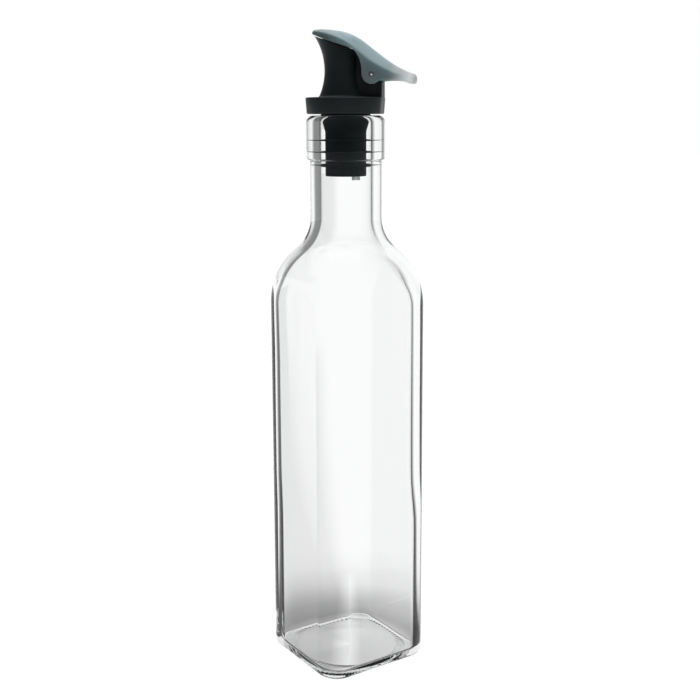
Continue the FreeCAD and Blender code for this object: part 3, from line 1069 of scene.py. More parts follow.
    def floor_ring(self, half: float, corner: tuple[float, ...], level: float) -> None:
        """Lay a ring of the inner floor, which follows the push-up.

        Args:
            half: Half the width over the flats.
            corner: Corner radius of each quadrant.
            level: Height that the ring has outside the push-up.
        """
        points = []
        for angle in self.angles:
            radius = self.reach(half, corner, angle)
            z = level + self.push_up_at(radius)
            points.append(Vector((radius * math.cos(angle), radius * math.sin(angle), z)))
        self.skin.add(points)

    def build(self) -> None:
        """Make the glass piece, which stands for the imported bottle."""
        self.lay_foot()
        self.lay_outside()
        self.lay_mouth()
        self.lay_inside()
        piece = new_piece(self.skin.mesh("bottle_glass"), Body.BOTTLE, ClearGlass().material())
        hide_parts("glass_bottle")


# The stopper


@dataclass
class Bung:
    """The soft sleeve that grips the neck, with thin lips, in millimetres."""

    top: float = 209.45
    foot: float = 187.4
    bore: float = 6.25
    radius: float = 7.5
    flange_radius: float = 9.1
    lip_radius: float = 9.29
    flange_depth: float = 2.35
    cone_foot: float = 203.3
    lips: Stops = ((200.25, 0.5), (196.1, 0.5), (191.6, 1.3))
    edge: float = 0.3
    edge_rings: int = 4
    lip_rings: int = 6
    crease_at: float = 50.0
    points_round: int = 160
    skin: Skin = field(default_factory=Skin)

    def ring(self, radius: float, z: float) -> None:
        """Lay one round ring."""
        around = turns(self.points_round)
        self.skin.add(Vector((radius * math.cos(turn), radius * math.sin(turn), z)) for turn in around)

    def lip(self, z: float, thickness: float) -> None:
        """Lay one lip: a root fillet, a thin web and a rounded rim.

        Args:
            z: Height of its middle.
            thickness: How thick it is at the rim.
        """
        half = thickness / 2.0
        middle = EDGE_MIDDLE * self.edge
        self.ring(self.radius, z + half + self.edge)
        self.ring(self.radius + middle, z + half + middle)
        self.ring(self.radius + self.edge, z + half)
        for turn in turns(2 * self.lip_rings)[:self.lip_rings + 1]:
            self.ring(self.lip_radius - half * (1.0 - math.sin(turn)), z + half * math.cos(turn))
        self.ring(self.radius + self.edge, z - half)
        self.ring(self.radius + middle, z - half - middle)
        self.ring(self.radius, z - half - self.edge)

    def build(self) -> None:
        """Make the bung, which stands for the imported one."""
        self.ring(self.bore, self.top)
        for turn in quarter(self.edge_rings):
            out = self.flange_radius - self.edge * (1.0 - math.sin(turn))
            self.ring(out, self.top - self.edge * (1.0 - math.cos(turn)))
        flange = self.top - self.flange_depth
        self.ring(self.flange_radius, flange + self.edge)
        self.ring(self.flange_radius - EDGE_MIDDLE * self.edge, flange)
        for share in shares(self.edge_rings):
            out = blend(self.flange_radius - self.edge, self.radius, share)
            self.ring(out, blend(flange, self.cone_foot, share))
        for z, thickness in self.lips:
            self.lip(z, thickness)
        for turn in quarter(self.edge_rings):
            out = self.radius - self.edge * (1.0 - math.cos(turn))
            self.ring(out, self.foot + self.edge * (1.0 - math.sin(turn)))
        self.ring(self.bore, self.foot)
        self.skin.close()
        mesh = self.skin.mesh("stopper_sleeve")
        piece = new_piece(mesh, Body.BUNG, SOFT_BLACK.material())
        crease(piece, self.crease_at)
        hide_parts("stopper_bung")


@dataclass
class Spout:
    """The rigid moulding: stem, collar, horn-shaped spout and hinge block, in millimetres."""

    foot: float = 188.2
    stem_radius: float = 6.2
    stem_bore: float = 5.2
    stem_edge: float = 0.25
    collar_foot: float = 209.5
    collar_top: float = COLLAR_TOP
    collar_radius: float = 14.55
    collar_draft: float = 0.35
    collar_edge: float = 0.55
    collar_flat: float = 13.85
    waist_height: float = 9.5
    waist_front: float = 7.6
    front_bend: float = 21.5
    back: float = 4.6
    back_height: float = 12.0
    back_bend: float = 26.0
    half_width: float = 6.3
    side_bend: float = 66.0
    root_fillet: float = 0.8
    deck_height: float = DECK_HEIGHT
    deck_slope: float = DECK_SLOPE
    deck_thickness: float = 1.3
    lip: float = 0.3
    hole_centre: float = HOLE_PLACE
    hole_half_length: float = 5.3
    hole_half_width: float = 4.3
    hole_draft: float = 0.55
    hole_edge: float = 0.15
    channel_radius: float = 4.7
    channel_lean: float = 0.1
    channel_root: float = -0.55
    channel_levels: tuple[float, ...] = (13.5, 9.0, 4.5, 0.0)
    vent_place: float = 3.7
    vent_radius: float = 1.5
    socket_wall: float = 0.55
    socket_length: float = 5.0
    pin_back: float = PIN_BACK
    pin_height: float = PIN_HEIGHT
    boss_radius: float = 2.6
    boss_half: float = 4.25
    web_front: float = 4.4
    web_step: float = 6.05
    web_half: float = 3.0
    web_sink: float = 0.6
    rear_wall: float = 1.5
    rear_half: float = 3.6
    rear_height: float = 5.6
    block_root: float = 1.5
    block_edge: float = 0.3
    crease_at: float = 40.0

    # Numbers of rings, tries and points
    edge_rings: int = 4
    collar_rings: int = 5
    root_rings: int = 6
    wall_rings: int = 44
    hole_rings: int = 3
    rim_tries: int = 8
    boss_points: int = 64
    socket_points: int = 48
    points_round: int = 192
    skin: Skin = field(default_factory=Skin)

    def __post_init__(self) -> None:
        """Work out the angles round the moulding."""
        self.turns = turns(self.points_round)

    def round_ring(self, radius: float, z: float, middle: float = 0.0) -> None:
        """Lay one round ring about a point of the middle plane."""
        self.skin.add(Vector((middle + radius * math.cos(t), radius * math.sin(t), z)) for t in self.turns)

    def collar_point(self, turn: float, inset: float, z: float) -> Vector:
        """A point of the collar, whose rear is cut flat.

        Args:
            turn: Angle about the axis.
            inset: How far it lies inside the collar's widest outline.
            z: Height.

        Returns:
            The point.
        """
        radius = self.collar_radius - inset
        return Vector((min(radius * math.cos(turn), self.collar_flat - inset), radius * math.sin(turn), z))

    def collar_ring(self, inset: float, z: float) -> None:
        """Lay one ring of the collar."""
        self.skin.add(self.collar_point(turn, inset, z) for turn in self.turns)

    def wall_point(self, height: float, turn: float, wider: float = 0.0) -> Vector:
        """A point of the horn's wall.

        Args:
            height: Height above the collar.
            turn: Angle round the horn's oval.
            wider: How far it stands off the wall.

        Returns:
            The point.
        """
        below = max(0.0, self.back_height - height)
        front = self.waist_front + bow(self.front_bend, height - self.waist_height)
        back = self.back + bow(self.back_bend, below)
        half = self.half_width + bow(self.side_bend, below) + wider
        reach = (front + back) / 2.0 + wider
        x = (back - front) / 2.0 + reach * math.cos(turn)
        return Vector((x, half * math.sin(turn), self.collar_top + height))

    def deck_at(self, x: float) -> float:
        """Height of the sloping deck above the collar, at a place."""
        return self.deck_height - x * math.tan(math.radians(self.deck_slope))

    def rim_height(self, turn: float) -> float:
        """Height above the collar at which the wall meets the deck.

        Args:
            turn: Angle round the horn's oval.

        Returns:
            The height.
        """
        height = self.deck_height
        for _ in range(self.rim_tries):
            height = self.deck_at(self.wall_point(height, turn).x)
        return height

    def hole_point(self, turn: float, wider: float, level: float) -> Vector:
        """A point of the pouring hole's oval.

        Args:
            turn: Angle round the hole.
            wider: How far it lies outside the hole's edge.
            level: Height above the deck, square to it.

        Returns:
            The point.
        """
        slope = math.radians(self.deck_slope)
        along = (self.hole_half_length + wider) * math.cos(turn)
        x = self.hole_centre + along * math.cos(slope) + level * math.sin(slope)
        rise = level * math.cos(slope) - along * math.sin(slope)
        z = self.collar_top + self.deck_at(self.hole_centre) + rise
        return Vector((x, (self.hole_half_width + wider) * math.sin(turn), z))

    def lay_stem_and_collar(self) -> None:
        """Lay the stem from its foot up, then the collar over the glass rim."""
        self.round_ring(self.stem_bore + self.stem_edge, self.foot)
        self.round_ring(self.stem_radius - self.stem_edge, self.foot)
        self.round_ring(self.stem_radius, self.foot + self.stem_edge)
        self.round_ring(self.stem_radius, self.collar_foot)
        for turn in quarter(self.collar_rings):
            inset = self.collar_draft + self.collar_edge * (1.0 - math.sin(turn))
            self.collar_ring(inset, self.collar_foot + self.collar_edge * (1.0 - math.cos(turn)))
        for turn in quarter(self.collar_rings):
            inset = self.collar_edge * (1.0 - math.cos(turn))
            self.collar_ring(inset, self.collar_top - self.collar_edge * (1.0 - math.sin(turn)))

    def lay_horn(self) -> None:
        """Lay the collar's top, the fillet at the horn's root, its wall and the rounded rim."""
        for share in shares(self.edge_rings)[:-1]:
            self.skin.add(
                self.collar_point(turn, self.collar_edge, self.collar_top).lerp(
                    self.wall_point(0.0, turn, self.root_fillet), share)
                for turn in self.turns)
        for bend in quarter(self.root_rings):
            wider = self.root_fillet * (1.0 - math.sin(bend))
            rise = self.root_fillet * (1.0 - math.cos(bend))
            self.skin.add(self.wall_point(rise, turn, wider) for turn in self.turns)
        tops = [self.rim_height(turn) for turn in self.turns]
        for share in shares(self.wall_rings):
            self.skin.add(
                self.wall_point(blend(self.root_fillet, top - self.lip, share), turn)
                for turn, top in zip(self.turns, tops))
        centre = self.hole_point(0.0, -self.hole_half_length, 0.0)
        for bend in quarter(self.edge_rings)[1:]:
            ring = []
            for turn, top in zip(self.turns, tops):
                edge = self.wall_point(top, turn)
                inward = (centre - edge).normalized() * self.lip * (1.0 - math.cos(bend))
                ring.append(edge + inward - Vector((0.0, 0.0, self.lip * (1.0 - math.sin(bend)))))
            self.skin.add(ring)

    def lay_mouth(self) -> None:
        """Lay the deck, the tapered pouring hole and the way down through the stem."""
        rim = [self.skin.points[index] for index in self.skin.last]
        for share in shares(self.edge_rings)[:-1]:
            self.skin.add(
                point.lerp(self.hole_point(turn, self.hole_edge, 0.0), share)
                for point, turn in zip(rim, self.turns))
        for bend in quarter(self.hole_rings):
            wider = self.hole_edge * (1.0 - math.sin(bend))
            sink = self.hole_edge * (1.0 - math.cos(bend))
            self.skin.add(self.hole_point(turn, wider, -sink) for turn in self.turns)
        narrow = self.hole_draft * self.deck_thickness
        self.skin.add(self.hole_point(turn, -narrow, -self.deck_thickness) for turn in self.turns)
        for height in self.channel_levels:
            middle = self.channel_root - self.channel_lean * height
            self.round_ring(self.channel_radius, self.collar_top + height, middle)
        self.round_ring(self.stem_bore, self.collar_top - self.stem_edge)
        self.round_ring(self.stem_bore, self.foot + self.stem_edge)
        self.skin.close()

    def prism(self, name: str, outline: Sequence[Pair], half: float) -> bpy.types.Mesh:
        """A plate across the middle plane, with rounded edges.

        Args:
            name: The mesh's name.
            outline: Its side view, as places and heights above the collar.
            half: Half its width.

        Returns:
            The new mesh.
        """
        plate = Skin()
        for y in (-half, half):
            plate.add(Vector((x, y, self.collar_top + z)) for x, z in outline)
        plate.cap()
        return plate.mesh(name, HEADING, self.block_edge)

    def hinge_block(self) -> list[bpy.types.Mesh]:
        """The web behind the horn, its rear wall and the boss that the pin runs in.

        Returns:
            The three solids.
        """
        wall_front = self.collar_flat - self.rear_wall
        web_back = wall_front + self.web_sink
        root = -self.block_root
        web_top = self.deck_at(self.web_step) - self.deck_thickness
        web = self.prism("hinge_web", (
            (self.web_front, self.block_root), (self.web_front, web_top), (self.web_step, web_top),
            (self.pin_back, self.pin_height + self.boss_radius), (web_back, self.rear_height),
            (web_back, root), (self.stem_radius, root)), self.web_half)
        wall = self.prism("hinge_rear_wall", (
            (wall_front, root), (wall_front, self.rear_height), (self.collar_flat, self.rear_height),
            (self.collar_flat, root)), self.rear_half)
        boss = Skin()
        for y, inset in self.boss_sections():
            boss.add(
                Vector((
                    self.pin_back + (self.boss_radius - inset) * math.cos(turn), y,
                    self.collar_top + self.pin_height + (self.boss_radius - inset) * math.sin(turn)))
                for turn in turns(self.boss_points))
        boss.cap()
        return [web, wall, boss.mesh("hinge_boss", HEADING)]

    def boss_sections(self) -> list[Pair]:
        """Places along the boss, which has rounded ends.

        Returns:
            Each place with how much the boss is thinner there.
        """
        start = []
        for turn in quarter(self.edge_rings):
            inset = self.block_edge * (1.0 - math.sin(turn))
            start.append((self.block_edge * (1.0 - math.cos(turn)) - self.boss_half, inset))
        return start + [(-y, inset) for y, inset in reversed(start)]

    def vent_socket(self) -> bpy.types.Mesh:
        """The socket in the stem that holds the vent tube.

        Returns:
            The new mesh.
        """
        socket = Skin()
        top, low = self.collar_foot, self.collar_foot - self.socket_length
        outer = self.vent_radius + self.socket_wall
        for radius, z in ((self.vent_radius, top), (outer, top), (outer, low), (self.vent_radius, low)):
            socket.add(
                Vector((self.vent_place + radius * math.cos(turn), radius * math.sin(turn), z))
                for turn in turns(self.socket_points))
        socket.close()
        return socket.mesh("vent_socket", HEADING)

    def build(self) -> None:
        """Make the moulding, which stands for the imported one."""
        self.lay_stem_and_collar()
        self.lay_horn()
        self.lay_mouth()
        mesh = self.skin.mesh("pourer_moulding", HEADING)
        for solid in (*self.hinge_block(), self.vent_socket()):
            mesh = combine(mesh, solid, Change.ADD)
        piece = new_piece(mesh, Body.POURER, SATIN_BLACK.material())
        crease(piece, self.crease_at)
        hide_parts("spout_body")


@dataclass
class Lid:
    """The lever lid: a crowned shell with side skirts, two hinge ears and a thumb tail, in millimetres."""

    collar_top: float = COLLAR_TOP
    deck_height: float = DECK_HEIGHT
    deck_slope: float = DECK_SLOPE
    gap: float = 0.35
    rear_gap: float = 0.12
    gap_run: float = 5.0
    wall: float = 1.6
    roof: float = 1.5
    pin_back: float = PIN_BACK
    pin_height: float = PIN_HEIGHT
    pin_hole: float = 0.7
    dimple: float = 1.0
    dimple_from: float = 5.5
    ear_radius: float = 3.4
    ear_front: float = 4.35
    ear_shoulder: float = 5.5
    rim_end: float = 2.1
    hollow_start: float = -9.9
    hollow_end: float = 18.4
    tail_arch: float = 2.1
    tail_drop: float = 3.35
    tail_round: float = 1.7
    tail_corner: float = 2.2
    tail_half: float = 5.2
    edge_fillet: float = 0.55
    ridge_round: float = 0.35
    skirt_edge: float = 0.18
    end_round: float = 0.45
    end_lift: float = 0.5
    least_side: float = 0.3
    fillet_share: float = 0.6
    lip_share: float = 0.3
    roof_crown: float = 0.75
    step: float = 0.02
    stud_place: float = HOLE_PLACE
    stud_radius: float = 1.4
    stud_from: float = 0.35
    stud_to: float = 2.6
    crease_at: float = 40.0

    # Stations from nose to tip: place, half width, height of the crown's edge, rise of the crown
    stations: tuple[tuple[float, float, float, float], ...] = (
        (-11.5, 3.4, 22.9, 0.85), (-8.0, 5.9, 22.68, 1.15), (-3.5, 6.9, 21.42, 2.0), (1.0, 7.0, 19.57, 2.85),
        (5.5, 6.45, 16.3, 3.95), (10.4, 6.2, 12.55, 4.05), (15.5, 6.05, 9.75, 3.05), (20.5, 5.6, 7.85, 1.95),
        (25.7, 4.8, 6.55, 1.1))

    # Numbers of points and sections
    side_points: int = 5
    crown_points: int = 14
    roof_points: int = 17
    end_rings: int = 5
    nose_rings: int = 3
    shell_rings: int = 26
    ear_rings: int = 16
    lobe_rings: int = 20
    tail_rings: int = 14
    tail_end_rings: int = 12
    points_round: int = 48
    skin: Skin = field(default_factory=Skin)

    def __post_init__(self) -> None:
        """Lay the guide curves through the stations and the arcs of the lower outline."""
        places, halves, edges, crowns = zip(*self.stations)
        self.nose, self.tip = places[0], places[-1]
        self.half_curve = Curve(places, halves)
        self.edge_curve = Curve(places, edges)
        self.ridge_curve = Curve(places, [edge + crown for edge, crown in zip(edges, crowns)])
        self.ear_start = self.pin_back - self.ear_front - self.rim_end
        slant = self.ear_radius / ROOT_TWO
        self.lobe_front = self.pin_back - self.ear_radius
        self.lobe_rear = self.pin_back + slant
        self.tail_start = self.tip - self.tail_round
        tail_z = self.pin_height - self.tail_drop
        self.ear = Arc(
            (self.ear_start, self.rim_at(self.ear_start)),
            (self.pin_back - self.ear_front, self.pin_height + self.ear_shoulder),
            (self.lobe_front, self.pin_height))
        self.arch = Arc(
            (self.lobe_rear, self.pin_height - slant),
            ((self.tip + self.pin_back) / 2.0, self.pin_height - self.tail_arch),
            (self.tail_start, tail_z))

    def rim_at(self, x: float) -> float:
        """Height of the skirt's rim above the collar, just off the deck and closer behind the nose."""
        gap = blend(self.gap, self.rear_gap, ease(x, self.nose, self.nose + self.gap_run))
        return self.deck_height - x * math.tan(math.radians(self.deck_slope)) + gap

    def low_at(self, x: float) -> float:
        """Height of the lid's lower outline above the collar.

        Args:
            x: Place along the lid.

        Returns:
            The height.
        """
        if x <= self.ear_start:
            return self.rim_at(x)
        if x < self.lobe_front:
            return self.ear.at(x)
        if x <= self.lobe_rear:
            return self.pin_height - math.sqrt(max(0.0, self.ear_radius ** 2 - (x - self.pin_back) ** 2))
        if x <= self.tail_start:
            return self.arch.at(x)
        return self.pin_height - self.tail_drop + bow(self.tail_round, x - self.tail_start)

    def half_at(self, x: float) -> float:
        """Half the lid's width, with the tail's corners rounded in plan.

        Args:
            x: Place along the lid.

        Returns:
            Half the width.
        """
        half = self.half_curve.at(x)
        start = self.tip - self.tail_corner
        if x > start:
            half = min(half, self.tail_half - bow(self.tail_corner, x - start))
        return half

    def end_inset(self, x: float) -> float:
        """How far the section shrinks at the rounded ends."""
        from_end = min(x - self.nose, self.tip - x)
        return bow(self.end_round, self.end_round - from_end) if from_end < self.end_round else 0.0

    def crown_drop(self, share: float) -> float:
        """Share of the crown's fall at a share of the half width, round at the ridge and then straighter."""
        return (math.hypot(share, self.ridge_round) - self.ridge_round) / (
            math.hypot(1.0, self.ridge_round) - self.ridge_round)

    def section(self, x: float, hollow: bool) -> Ring:
        """One section across the lid, as a closed ring.

        Args:
            x: Place along the lid.
            hollow: Whether it is cut out below, or solid.

        Returns:
            The ring's points.
        """
        inset = self.end_inset(x)
        half = self.half_at(x) - inset
        low = self.low_at(x) + self.end_lift * inset
        edge = max(self.edge_curve.at(x) - inset, low + self.least_side)
        ridge = self.ridge_curve.at(x) - inset
        outside = self.outside(half, low, edge, ridge)
        inside = self.inside(half - self.wall, low, edge, ridge)
        if not hollow:
            inside = [(y, low) for y, _ in inside]
        return [Vector((x, y, self.collar_top + z)) for y, z in outside + inside]

    def outside(self, half: float, low: float, edge: float, ridge: float) -> list[Pair]:
        """The outer side of a section: skirt, rounded edge and crown, from one rim to the other.

        Args:
            half: Half the width.
            low: Height of the rim.
            edge: Height of the crown's edge.
            ridge: Height of the crown's middle.

        Returns:
            Widths and heights of its points.
        """
        sag = ridge - edge
        fillet = min(self.edge_fillet, self.fillet_share * (edge - low))
        lip = min(self.skirt_edge, self.lip_share * (edge - low))
        middle = EDGE_MIDDLE * lip
        side = [(half - lip, low), (half - middle, low + middle), (half, low + lip)]
        side += [(half, blend(low + lip, edge - fillet, share)) for share in shares(self.side_points)]
        corner = Vector((half, edge))
        turned = Vector((half - fillet, ridge - sag * self.crown_drop(1.0 - fillet / half)))
        for share in shares(self.side_points):
            start = Vector((half, edge - fillet)).lerp(corner, share)
            end = corner.lerp(turned, share)
            side.append(tuple(start.lerp(end, share)))
        for share in shares(self.crown_points)[:-1]:
            y = blend(half - fillet, 0.0, share)
            side.append((y, ridge - sag * self.crown_drop(y / half)))
        return side + [(0.0, ridge)] + [(-y, z) for y, z in reversed(side)]

    def inside(self, half: float, low: float, edge: float, ridge: float) -> list[Pair]:
        """The inner side of a hollow section, from one rim to the other.

        Args:
            half: Half the width between the skirts.
            low: Height of the rim.
            edge: Height of the crown's edge.
            ridge: Height of the crown's middle.

        Returns:
            Widths and heights of its points.
        """
        crown = self.roof_crown * (ridge - edge)
        roof = []
        for share in shares(self.roof_points)[:-1]:
            y = blend(-half, half, share)
            roof.append((y, max(low, edge - self.roof + crown * (1.0 - (y / half) ** 2))))
        return [(-half, low), (-half, roof[0][1]), *roof, (half, roof[-1][1]), (half, low)]

    def places(self) -> list[tuple[float, bool]]:
        """Places of the sections, closer at the ears and the ends, each with whether it is hollow.

        Returns:
            The places in order.
        """
        front = [self.nose + self.end_round * (1.0 - math.cos(turn)) for turn in quarter(self.end_rings)]
        front += [blend(front[-1], self.hollow_start, share) for share in shares(self.nose_rings)]
        solid_front = [(x, False) for x in front]
        shell = [self.hollow_start + self.step]
        shell += [blend(self.hollow_start, self.ear_start, share) for share in shares(self.shell_rings)]
        ear = quarter(self.ear_rings)[1:]
        shell += [blend(self.ear_start, self.lobe_front, math.sin(turn)) for turn in ear]
        lobe = self.lobe_rear - self.lobe_front
        shell += [self.lobe_front + lobe * (1.0 - math.cos(turn)) for turn in quarter(self.lobe_rings)[1:]]
        shell += [blend(self.lobe_rear, self.hollow_end, share) for share in shares(self.tail_rings)]
        tail = [self.hollow_end + self.step]
        tail += [blend(self.hollow_end, self.tail_start, share) for share in shares(self.tail_rings)]
        tail_end = quarter(self.tail_end_rings)[1:]
        tail += [self.tail_start + self.tail_round * math.sin(turn) for turn in tail_end]
        return solid_front + [(x, True) for x in shell] + [(x, False) for x in tail]

    def pin_drill(self) -> bpy.types.Mesh:
        """The bore for the pin, with a wider dimple at either ear.

        Returns:
            The new mesh.
        """
        drill = Skin()
        far = 2.0 * self.dimple_from
        for y, radius in (
                (-far, self.dimple), (-self.dimple_from, self.dimple), (-self.dimple_from, self.pin_hole),
                (self.dimple_from, self.pin_hole), (self.dimple_from, self.dimple), (far, self.dimple)):
            drill.add(
                Vector((
                    self.pin_back + radius * math.cos(turn), y,
                    self.collar_top + self.pin_height + radius * math.sin(turn)))
                for turn in turns(self.points_round))
        drill.cap()
        return drill.mesh("pin_drill", HEADING)

    def seal_stud(self) -> bpy.types.Mesh:
        """The stud under the lid's roof that carries the seal.

        Returns:
            The new mesh.
        """
        slope = math.radians(self.deck_slope)
        deck = self.deck_height - self.stud_place * math.tan(slope)
        base = Vector((self.stud_place, 0.0, self.collar_top + deck))
        up = Vector((math.sin(slope), 0.0, math.cos(slope)))
        along = Vector((math.cos(slope), 0.0, -math.sin(slope)))
        across = Vector((0.0, 1.0, 0.0))
        stud = Skin()
        for level in (self.stud_from, self.stud_to):
            stud.add(
                base + up * level + (along * math.cos(turn) + across * math.sin(turn)) * self.stud_radius
                for turn in turns(self.points_round))
        stud.cap()
        return stud.mesh("seal_stud", HEADING)

    def build(self) -> None:
        """Make the lid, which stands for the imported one."""
        for x, hollow in self.places():
            self.skin.add(self.section(x, hollow))
        self.skin.cap()
        mesh = self.skin.mesh("lever_lid", HEADING)
        mesh = combine(mesh, self.seal_stud(), Change.ADD)
        mesh = combine(mesh, self.pin_drill(), Change.TAKE)
        piece = new_piece(mesh, Body.LID, LID_GREY.material())
        crease(piece, self.crease_at)
        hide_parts("flip_lid")


@dataclass
class HingePin:
    """The bright pin through the ears, with domed ends, in millimetres."""

    back: float = PIN_BACK
    height: float = COLLAR_TOP + PIN_HEIGHT
    radius: float = 0.65
    half: float = 5.85
    dome: float = 0.35
    dome_rings: int = 8
    points_round: int = 40

    def build(self) -> None:
        """Make the pin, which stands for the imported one."""
        skin = Skin()
        bends = quarter(self.dome_rings)[1:]
        bulge = [(self.radius * math.sin(bend), self.dome * math.cos(bend)) for bend in bends]
        ends = [(radius, -(self.half - self.dome) - out) for radius, out in bulge]
        skin.add([Vector((self.back, -self.half, self.height))])
        for radius, y in ends + [(radius, -y) for radius, y in reversed(ends)]:
            skin.add(
                Vector((self.back + radius * math.cos(turn), y, self.height + radius * math.sin(turn)))
                for turn in turns(self.points_round))
        skin.add([Vector((self.back, self.half, self.height))])
        piece = new_piece(skin.mesh("hinge_wire", HEADING), Body.POURER, CutSteel().material())
        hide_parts("hinge_pin")


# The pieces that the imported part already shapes


@dataclass
class PackedPieces:
    """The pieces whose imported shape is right, and which only get their finish."""

    nodes: dict[str, bpy.types.Object]
    crease_at: float = 32.0

    def dress(self) -> None:
        """Give each piece its material."""
        for name, finish in {"lid_seal": SEAL_BLACK, "vent_tube": VENT_CLEAR}.items():
            piece = self.nodes[name]
            piece.data.materials.clear()
            piece.data.materials.append(finish.material())
            piece.data.shade_smooth()
            crease(piece, self.crease_at)
            LOG.info("dressed %s", name)


# The studio


@dataclass
class Studio:
    """The pale floor, the soft light and the camera, with sizes in metres."""

    azimuth: float = -33.7
    distance: float = 0.3988
    eye_height: float = 0.2080
    tilt: float = 12.2
    roll: float = -0.18
    aim_right: float = 0.00130
    lens: float = 55.12
    sensor: float = 36.0
    sight: Pair = (0.01, 50.0)
    lamp_place: tuple[float, float, float] = (0.05, 0.10, 0.95)
    lamp_aim: tuple[float, float, float] = (0.0, 0.0, 0.15)
    lamp_size: float = 0.6
    lamp_power: float = 1.8
    floor_radius: float = 6.0
    floor_points: int = 96
    floor_matt: float = 0.25
    floor_pale: float = 0.8
    floor_glow: float = 1.15
    floor_shadow: float = 0.2
    light_back: float = 0.9
    light_right: float = 0.5

    # Each pair below is a distance or a part of a direction, and the brightness or share that it gives
    # Painted shadow on the floor round the base, shown only through the glass, and its reach in metres
    painted_floor_shadow: Stops = (
        (0.0, 0.56), (0.2, 0.50), (0.3, 0.34), (0.42, 0.46), (0.6, 0.78), (0.8, 0.95), (1.0, 1.0))
    painted_floor_shadow_reach: float = 0.1
    soft_light: Stops = ((0.0, 0.04), (0.95, 1.6))
    ceiling: Stops = ((0.5, 0.0), (0.9, 1.0))
    backdrop: Stops = ((0.42, 0.08), (0.72, 1.0))
    left_edge: Stops = ((-0.45, 0.0), (-0.10, 1.0))
    left_dark: float = 0.25
    # Painted dark of the backdrop's left side, shown on the floor after a reflection inside the glass, by
    # distance from the bottle
    left_dark_floor: Stops = ((0.15, 0.08), (1.2, 0.25))
    # Painted shade on the floor to the left, as the glass shows it
    left_floor: Stops = ((-0.15, 0.85), (-0.065, 1.0))
    left_floor_end: Stops = ((-0.95, 1.0), (-0.7, 0.85))
    # Painted light and shade across the floor near the base, darker to the left and lighter to the right,
    # and how near the base it reaches
    floor_sides: Stops = ((-0.02, -0.10), (0.02, 0.25))
    floor_near: Stops = ((0.04, 1.0), (0.075, 0.0))
    # A painted bright streak on the floor just behind the bottle's axis, and its place across
    painted_streak: Stops = ((0.001, 0.5), (0.006, 0.0))
    painted_streak_place: float = -0.0013

    def __post_init__(self) -> None:
        """Work out the directions of the picture."""
        turn = math.radians(self.azimuth)
        self.right = Vector((math.cos(turn), math.sin(turn), 0.0))
        self.ahead = Vector((-math.sin(turn), math.cos(turn), 0.0))

    def camera(self) -> None:
        """Set the camera at the photograph's viewpoint."""
        tilt = math.radians(self.tilt)
        place = Vector((0.0, 0.0, self.eye_height)) - self.ahead * self.distance
        look = self.ahead * self.distance + self.right * self.aim_right
        look = look.normalized() * math.cos(tilt) - Vector((0.0, 0.0, math.sin(tilt)))
        data = bpy.data.cameras.new("viewpoint")
        data.lens = self.lens
        data.sensor_width = self.sensor
        data.clip_start, data.clip_end = self.sight
        eye = bpy.data.objects.new("viewpoint", data)
        bpy.context.scene.collection.objects.link(eye)
        level = look.to_track_quat("-Z", "Y").to_matrix().to_4x4()
        roll = Matrix.Rotation(math.radians(self.roll), 4, "Z")
        eye.matrix_world = Matrix.Translation(place) @ level @ roll
        bpy.context.scene.camera = eye

    def lamp(self) -> None:
        """Add one soft square lamp above the bottle."""
        data = bpy.data.lights.new("soft_top", "AREA")
        data.size = self.lamp_size
        data.energy = self.lamp_power
        lamp = bpy.data.objects.new("soft_top", data)
        bpy.context.scene.collection.objects.link(lamp)
        lamp.location = self.lamp_place
        facing = Vector(self.lamp_aim) - Vector(self.lamp_place)
        lamp.rotation_euler = facing.to_track_quat("-Z", "Y").to_euler()
        lamp.visible_camera = False
        lamp.visible_transmission = False

    def backdrop_at(self, net: Net, direction: Socket, dark: Socket | float) -> Socket:
        """Brightness of the sheet behind the bottle, which ends sooner on the left.

        Args:
            net: The node tree that shows it.
            direction: The direction in which it is seen.
            dark: Brightness past its left end.

        Returns:
            The socket with the brightness.
        """
        sheet = net.span(net.along(direction, self.ahead), *self.backdrop)
        left = net.choose(net.span(net.along(direction, self.right), *self.left_edge), dark, 1.0)
        return net.work_out("MINIMUM", sheet, left)

    def sky(self) -> None:
        """Light the room softly from above, and show white to the eye, in gloss and through the glass."""
        world = bpy.data.worlds.new("studio_room")
        bpy.context.scene.world = world
        world.use_nodes = True
        net = Net(world.node_tree)
        path = net.node("LightPath")
        direction = net.node("TexCoord").outputs["Generated"]
        up = Vector((0.0, 0.0, 1.0))
        towards_light = up + self.ahead * self.light_back + self.right * self.light_right
        soft = net.span(net.along(direction, towards_light), *self.soft_light)
        ceiling = net.span(net.along(direction, up), *self.ceiling)
        room = net.work_out("MAXIMUM", self.backdrop_at(net, direction, self.left_dark), ceiling)
        guided = net.bounced(path, "Glossy")
        through = net.choose(guided, 1.0, room)
        seen = net.choose(path.outputs["Is Transmission Ray"], room, through)
        scattered = net.bounced(path, "Diffuse")
        brightness = net.choose(scattered, seen, soft)
        brightness = net.choose(path.outputs["Is Camera Ray"], brightness, 1.0)
        glow = net.node("Background")
        glow.inputs["Color"].default_value = (1.0, 1.0, 1.0, 1.0)
        net.join(brightness, glow.inputs["Strength"])
        net.join(glow.outputs["Background"], net.node("OutputWorld").inputs["Surface"])

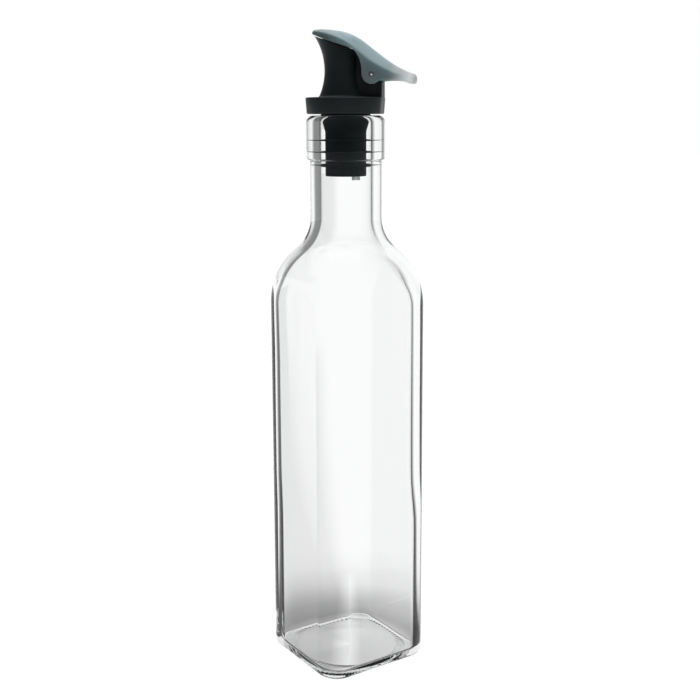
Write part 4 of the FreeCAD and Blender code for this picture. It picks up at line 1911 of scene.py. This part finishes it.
    def floor(self) -> None:
        """Lay the pale floor that carries the bottle's shadow."""
        data = bpy.data.meshes.new("studio_floor")
        work = bmesh.new()
        bmesh.ops.create_circle(work, cap_ends=True, segments=self.floor_points, radius=self.floor_radius)
        work.to_mesh(data)
        work.free()
        floor = bpy.data.objects.new("studio_floor", data)
        bpy.context.scene.collection.objects.link(floor)
        material = bpy.data.materials.new("pale_floor")
        material.use_nodes = True
        data.materials.append(material)
        net = Net(material.node_tree)
        path = net.node("LightPath")
        matt = net.node("BsdfDiffuse")
        matt.inputs["Color"].default_value = (self.floor_matt, self.floor_matt, self.floor_matt, 1.0)
        pale = net.node("BsdfDiffuse")
        pale.inputs["Color"].default_value = (self.floor_pale, self.floor_pale, self.floor_pale, 1.0)
        glow = net.node("Emission")
        glow.inputs["Strength"].default_value = self.floor_glow
        seen = net.either(self.floor_shadow, glow.outputs["Emission"], pale.outputs["BSDF"])
        shown = net.work_out("MAXIMUM", path.outputs["Is Camera Ray"], path.outputs["Is Glossy Ray"])
        surface = net.either(shown, matt.outputs["BSDF"], seen)
        through = self.floor_through_glass(net, path)
        surface = net.either(path.outputs["Is Transmission Ray"], surface, through)
        scattered = net.bounced(path, "Diffuse")
        surface = net.either(scattered, surface, matt.outputs["BSDF"])
        net.join(surface, net.node("OutputMaterial").inputs["Surface"])

    def floor_through_glass(self, net: Net, path: bpy.types.Node) -> Socket:
        """The floor as the glass shows it: a painted shadow round the base, painted shade to the left, a
        painted bright streak just behind the bottle's axis and white farther out; after a reflection inside
        the glass, a painted reflection of the room, darker to the left.

        Args:
            net: The floor's node tree.
            path: Its Light Path node.

        Returns:
            The shader.
        """
        length = net.node("VectorMath", operation="LENGTH")
        place = net.node("TexCoord").outputs["Object"]
        net.join(place, length.inputs[0])
        distance = length.outputs["Value"]
        # Painted shadow round the base
        share = net.span(distance, (0.0, 0.0), (self.painted_floor_shadow_reach, 1.0))
        shade = net.ramp(share, [(stop, (grey, grey, grey)) for stop, grey in self.painted_floor_shadow])
        through = net.node("Emission")
        net.join(shade, through.inputs["Color"])
        outward = net.node("VectorMath", operation="NORMALIZE")
        net.join(place, outward.inputs[0])
        dark = net.span(distance, *self.left_dark_floor)
        room = self.backdrop_at(net, outward.outputs["Vector"], dark)
        # Painted light and shade across the floor, with a painted bright streak behind the axis, near the
        # base only
        aside = net.along(place, self.right)
        off = net.work_out("ABSOLUTE", net.work_out("SUBTRACT", aside, self.painted_streak_place))
        lit = net.work_out("ADD", net.span(aside, *self.floor_sides), net.span(off, *self.painted_streak))
        lit = net.work_out("MULTIPLY", lit, net.span(distance, *self.floor_near))
        # Painted shade to the left
        sideways = net.along(outward.outputs["Vector"], self.right)
        left = net.work_out(
            "MAXIMUM", net.span(sideways, *self.left_floor), net.span(sideways, *self.left_floor_end))
        lit = net.work_out("ADD", lit, left)
        # After a reflection inside the glass the floor shows the room's brightness, a painted reflection
        # darker to the left
        guided = net.bounced(path, "Glossy")
        net.join(net.choose(guided, lit, room), through.inputs["Strength"])
        return through.outputs["Emission"]

    def build(self) -> None:
        """Set up the camera, the sky, the floor and the lamp."""
        bpy.context.scene.view_settings.view_transform = "Standard"
        self.camera()
        self.sky()
        self.floor()
        self.lamp()
        LOG.info("set up the studio")


def main() -> None:
    """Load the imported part, dress every piece and set up the studio."""
    logging.basicConfig(level=logging.INFO)
    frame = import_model()
    PackedPieces(frame["nodes"]).dress()
    for piece in (GlassBottle(), Bung(), Spout(), HingePin(), Lid()):
        piece.build()
    Studio().build()


if __name__ == "__main__":
    main()
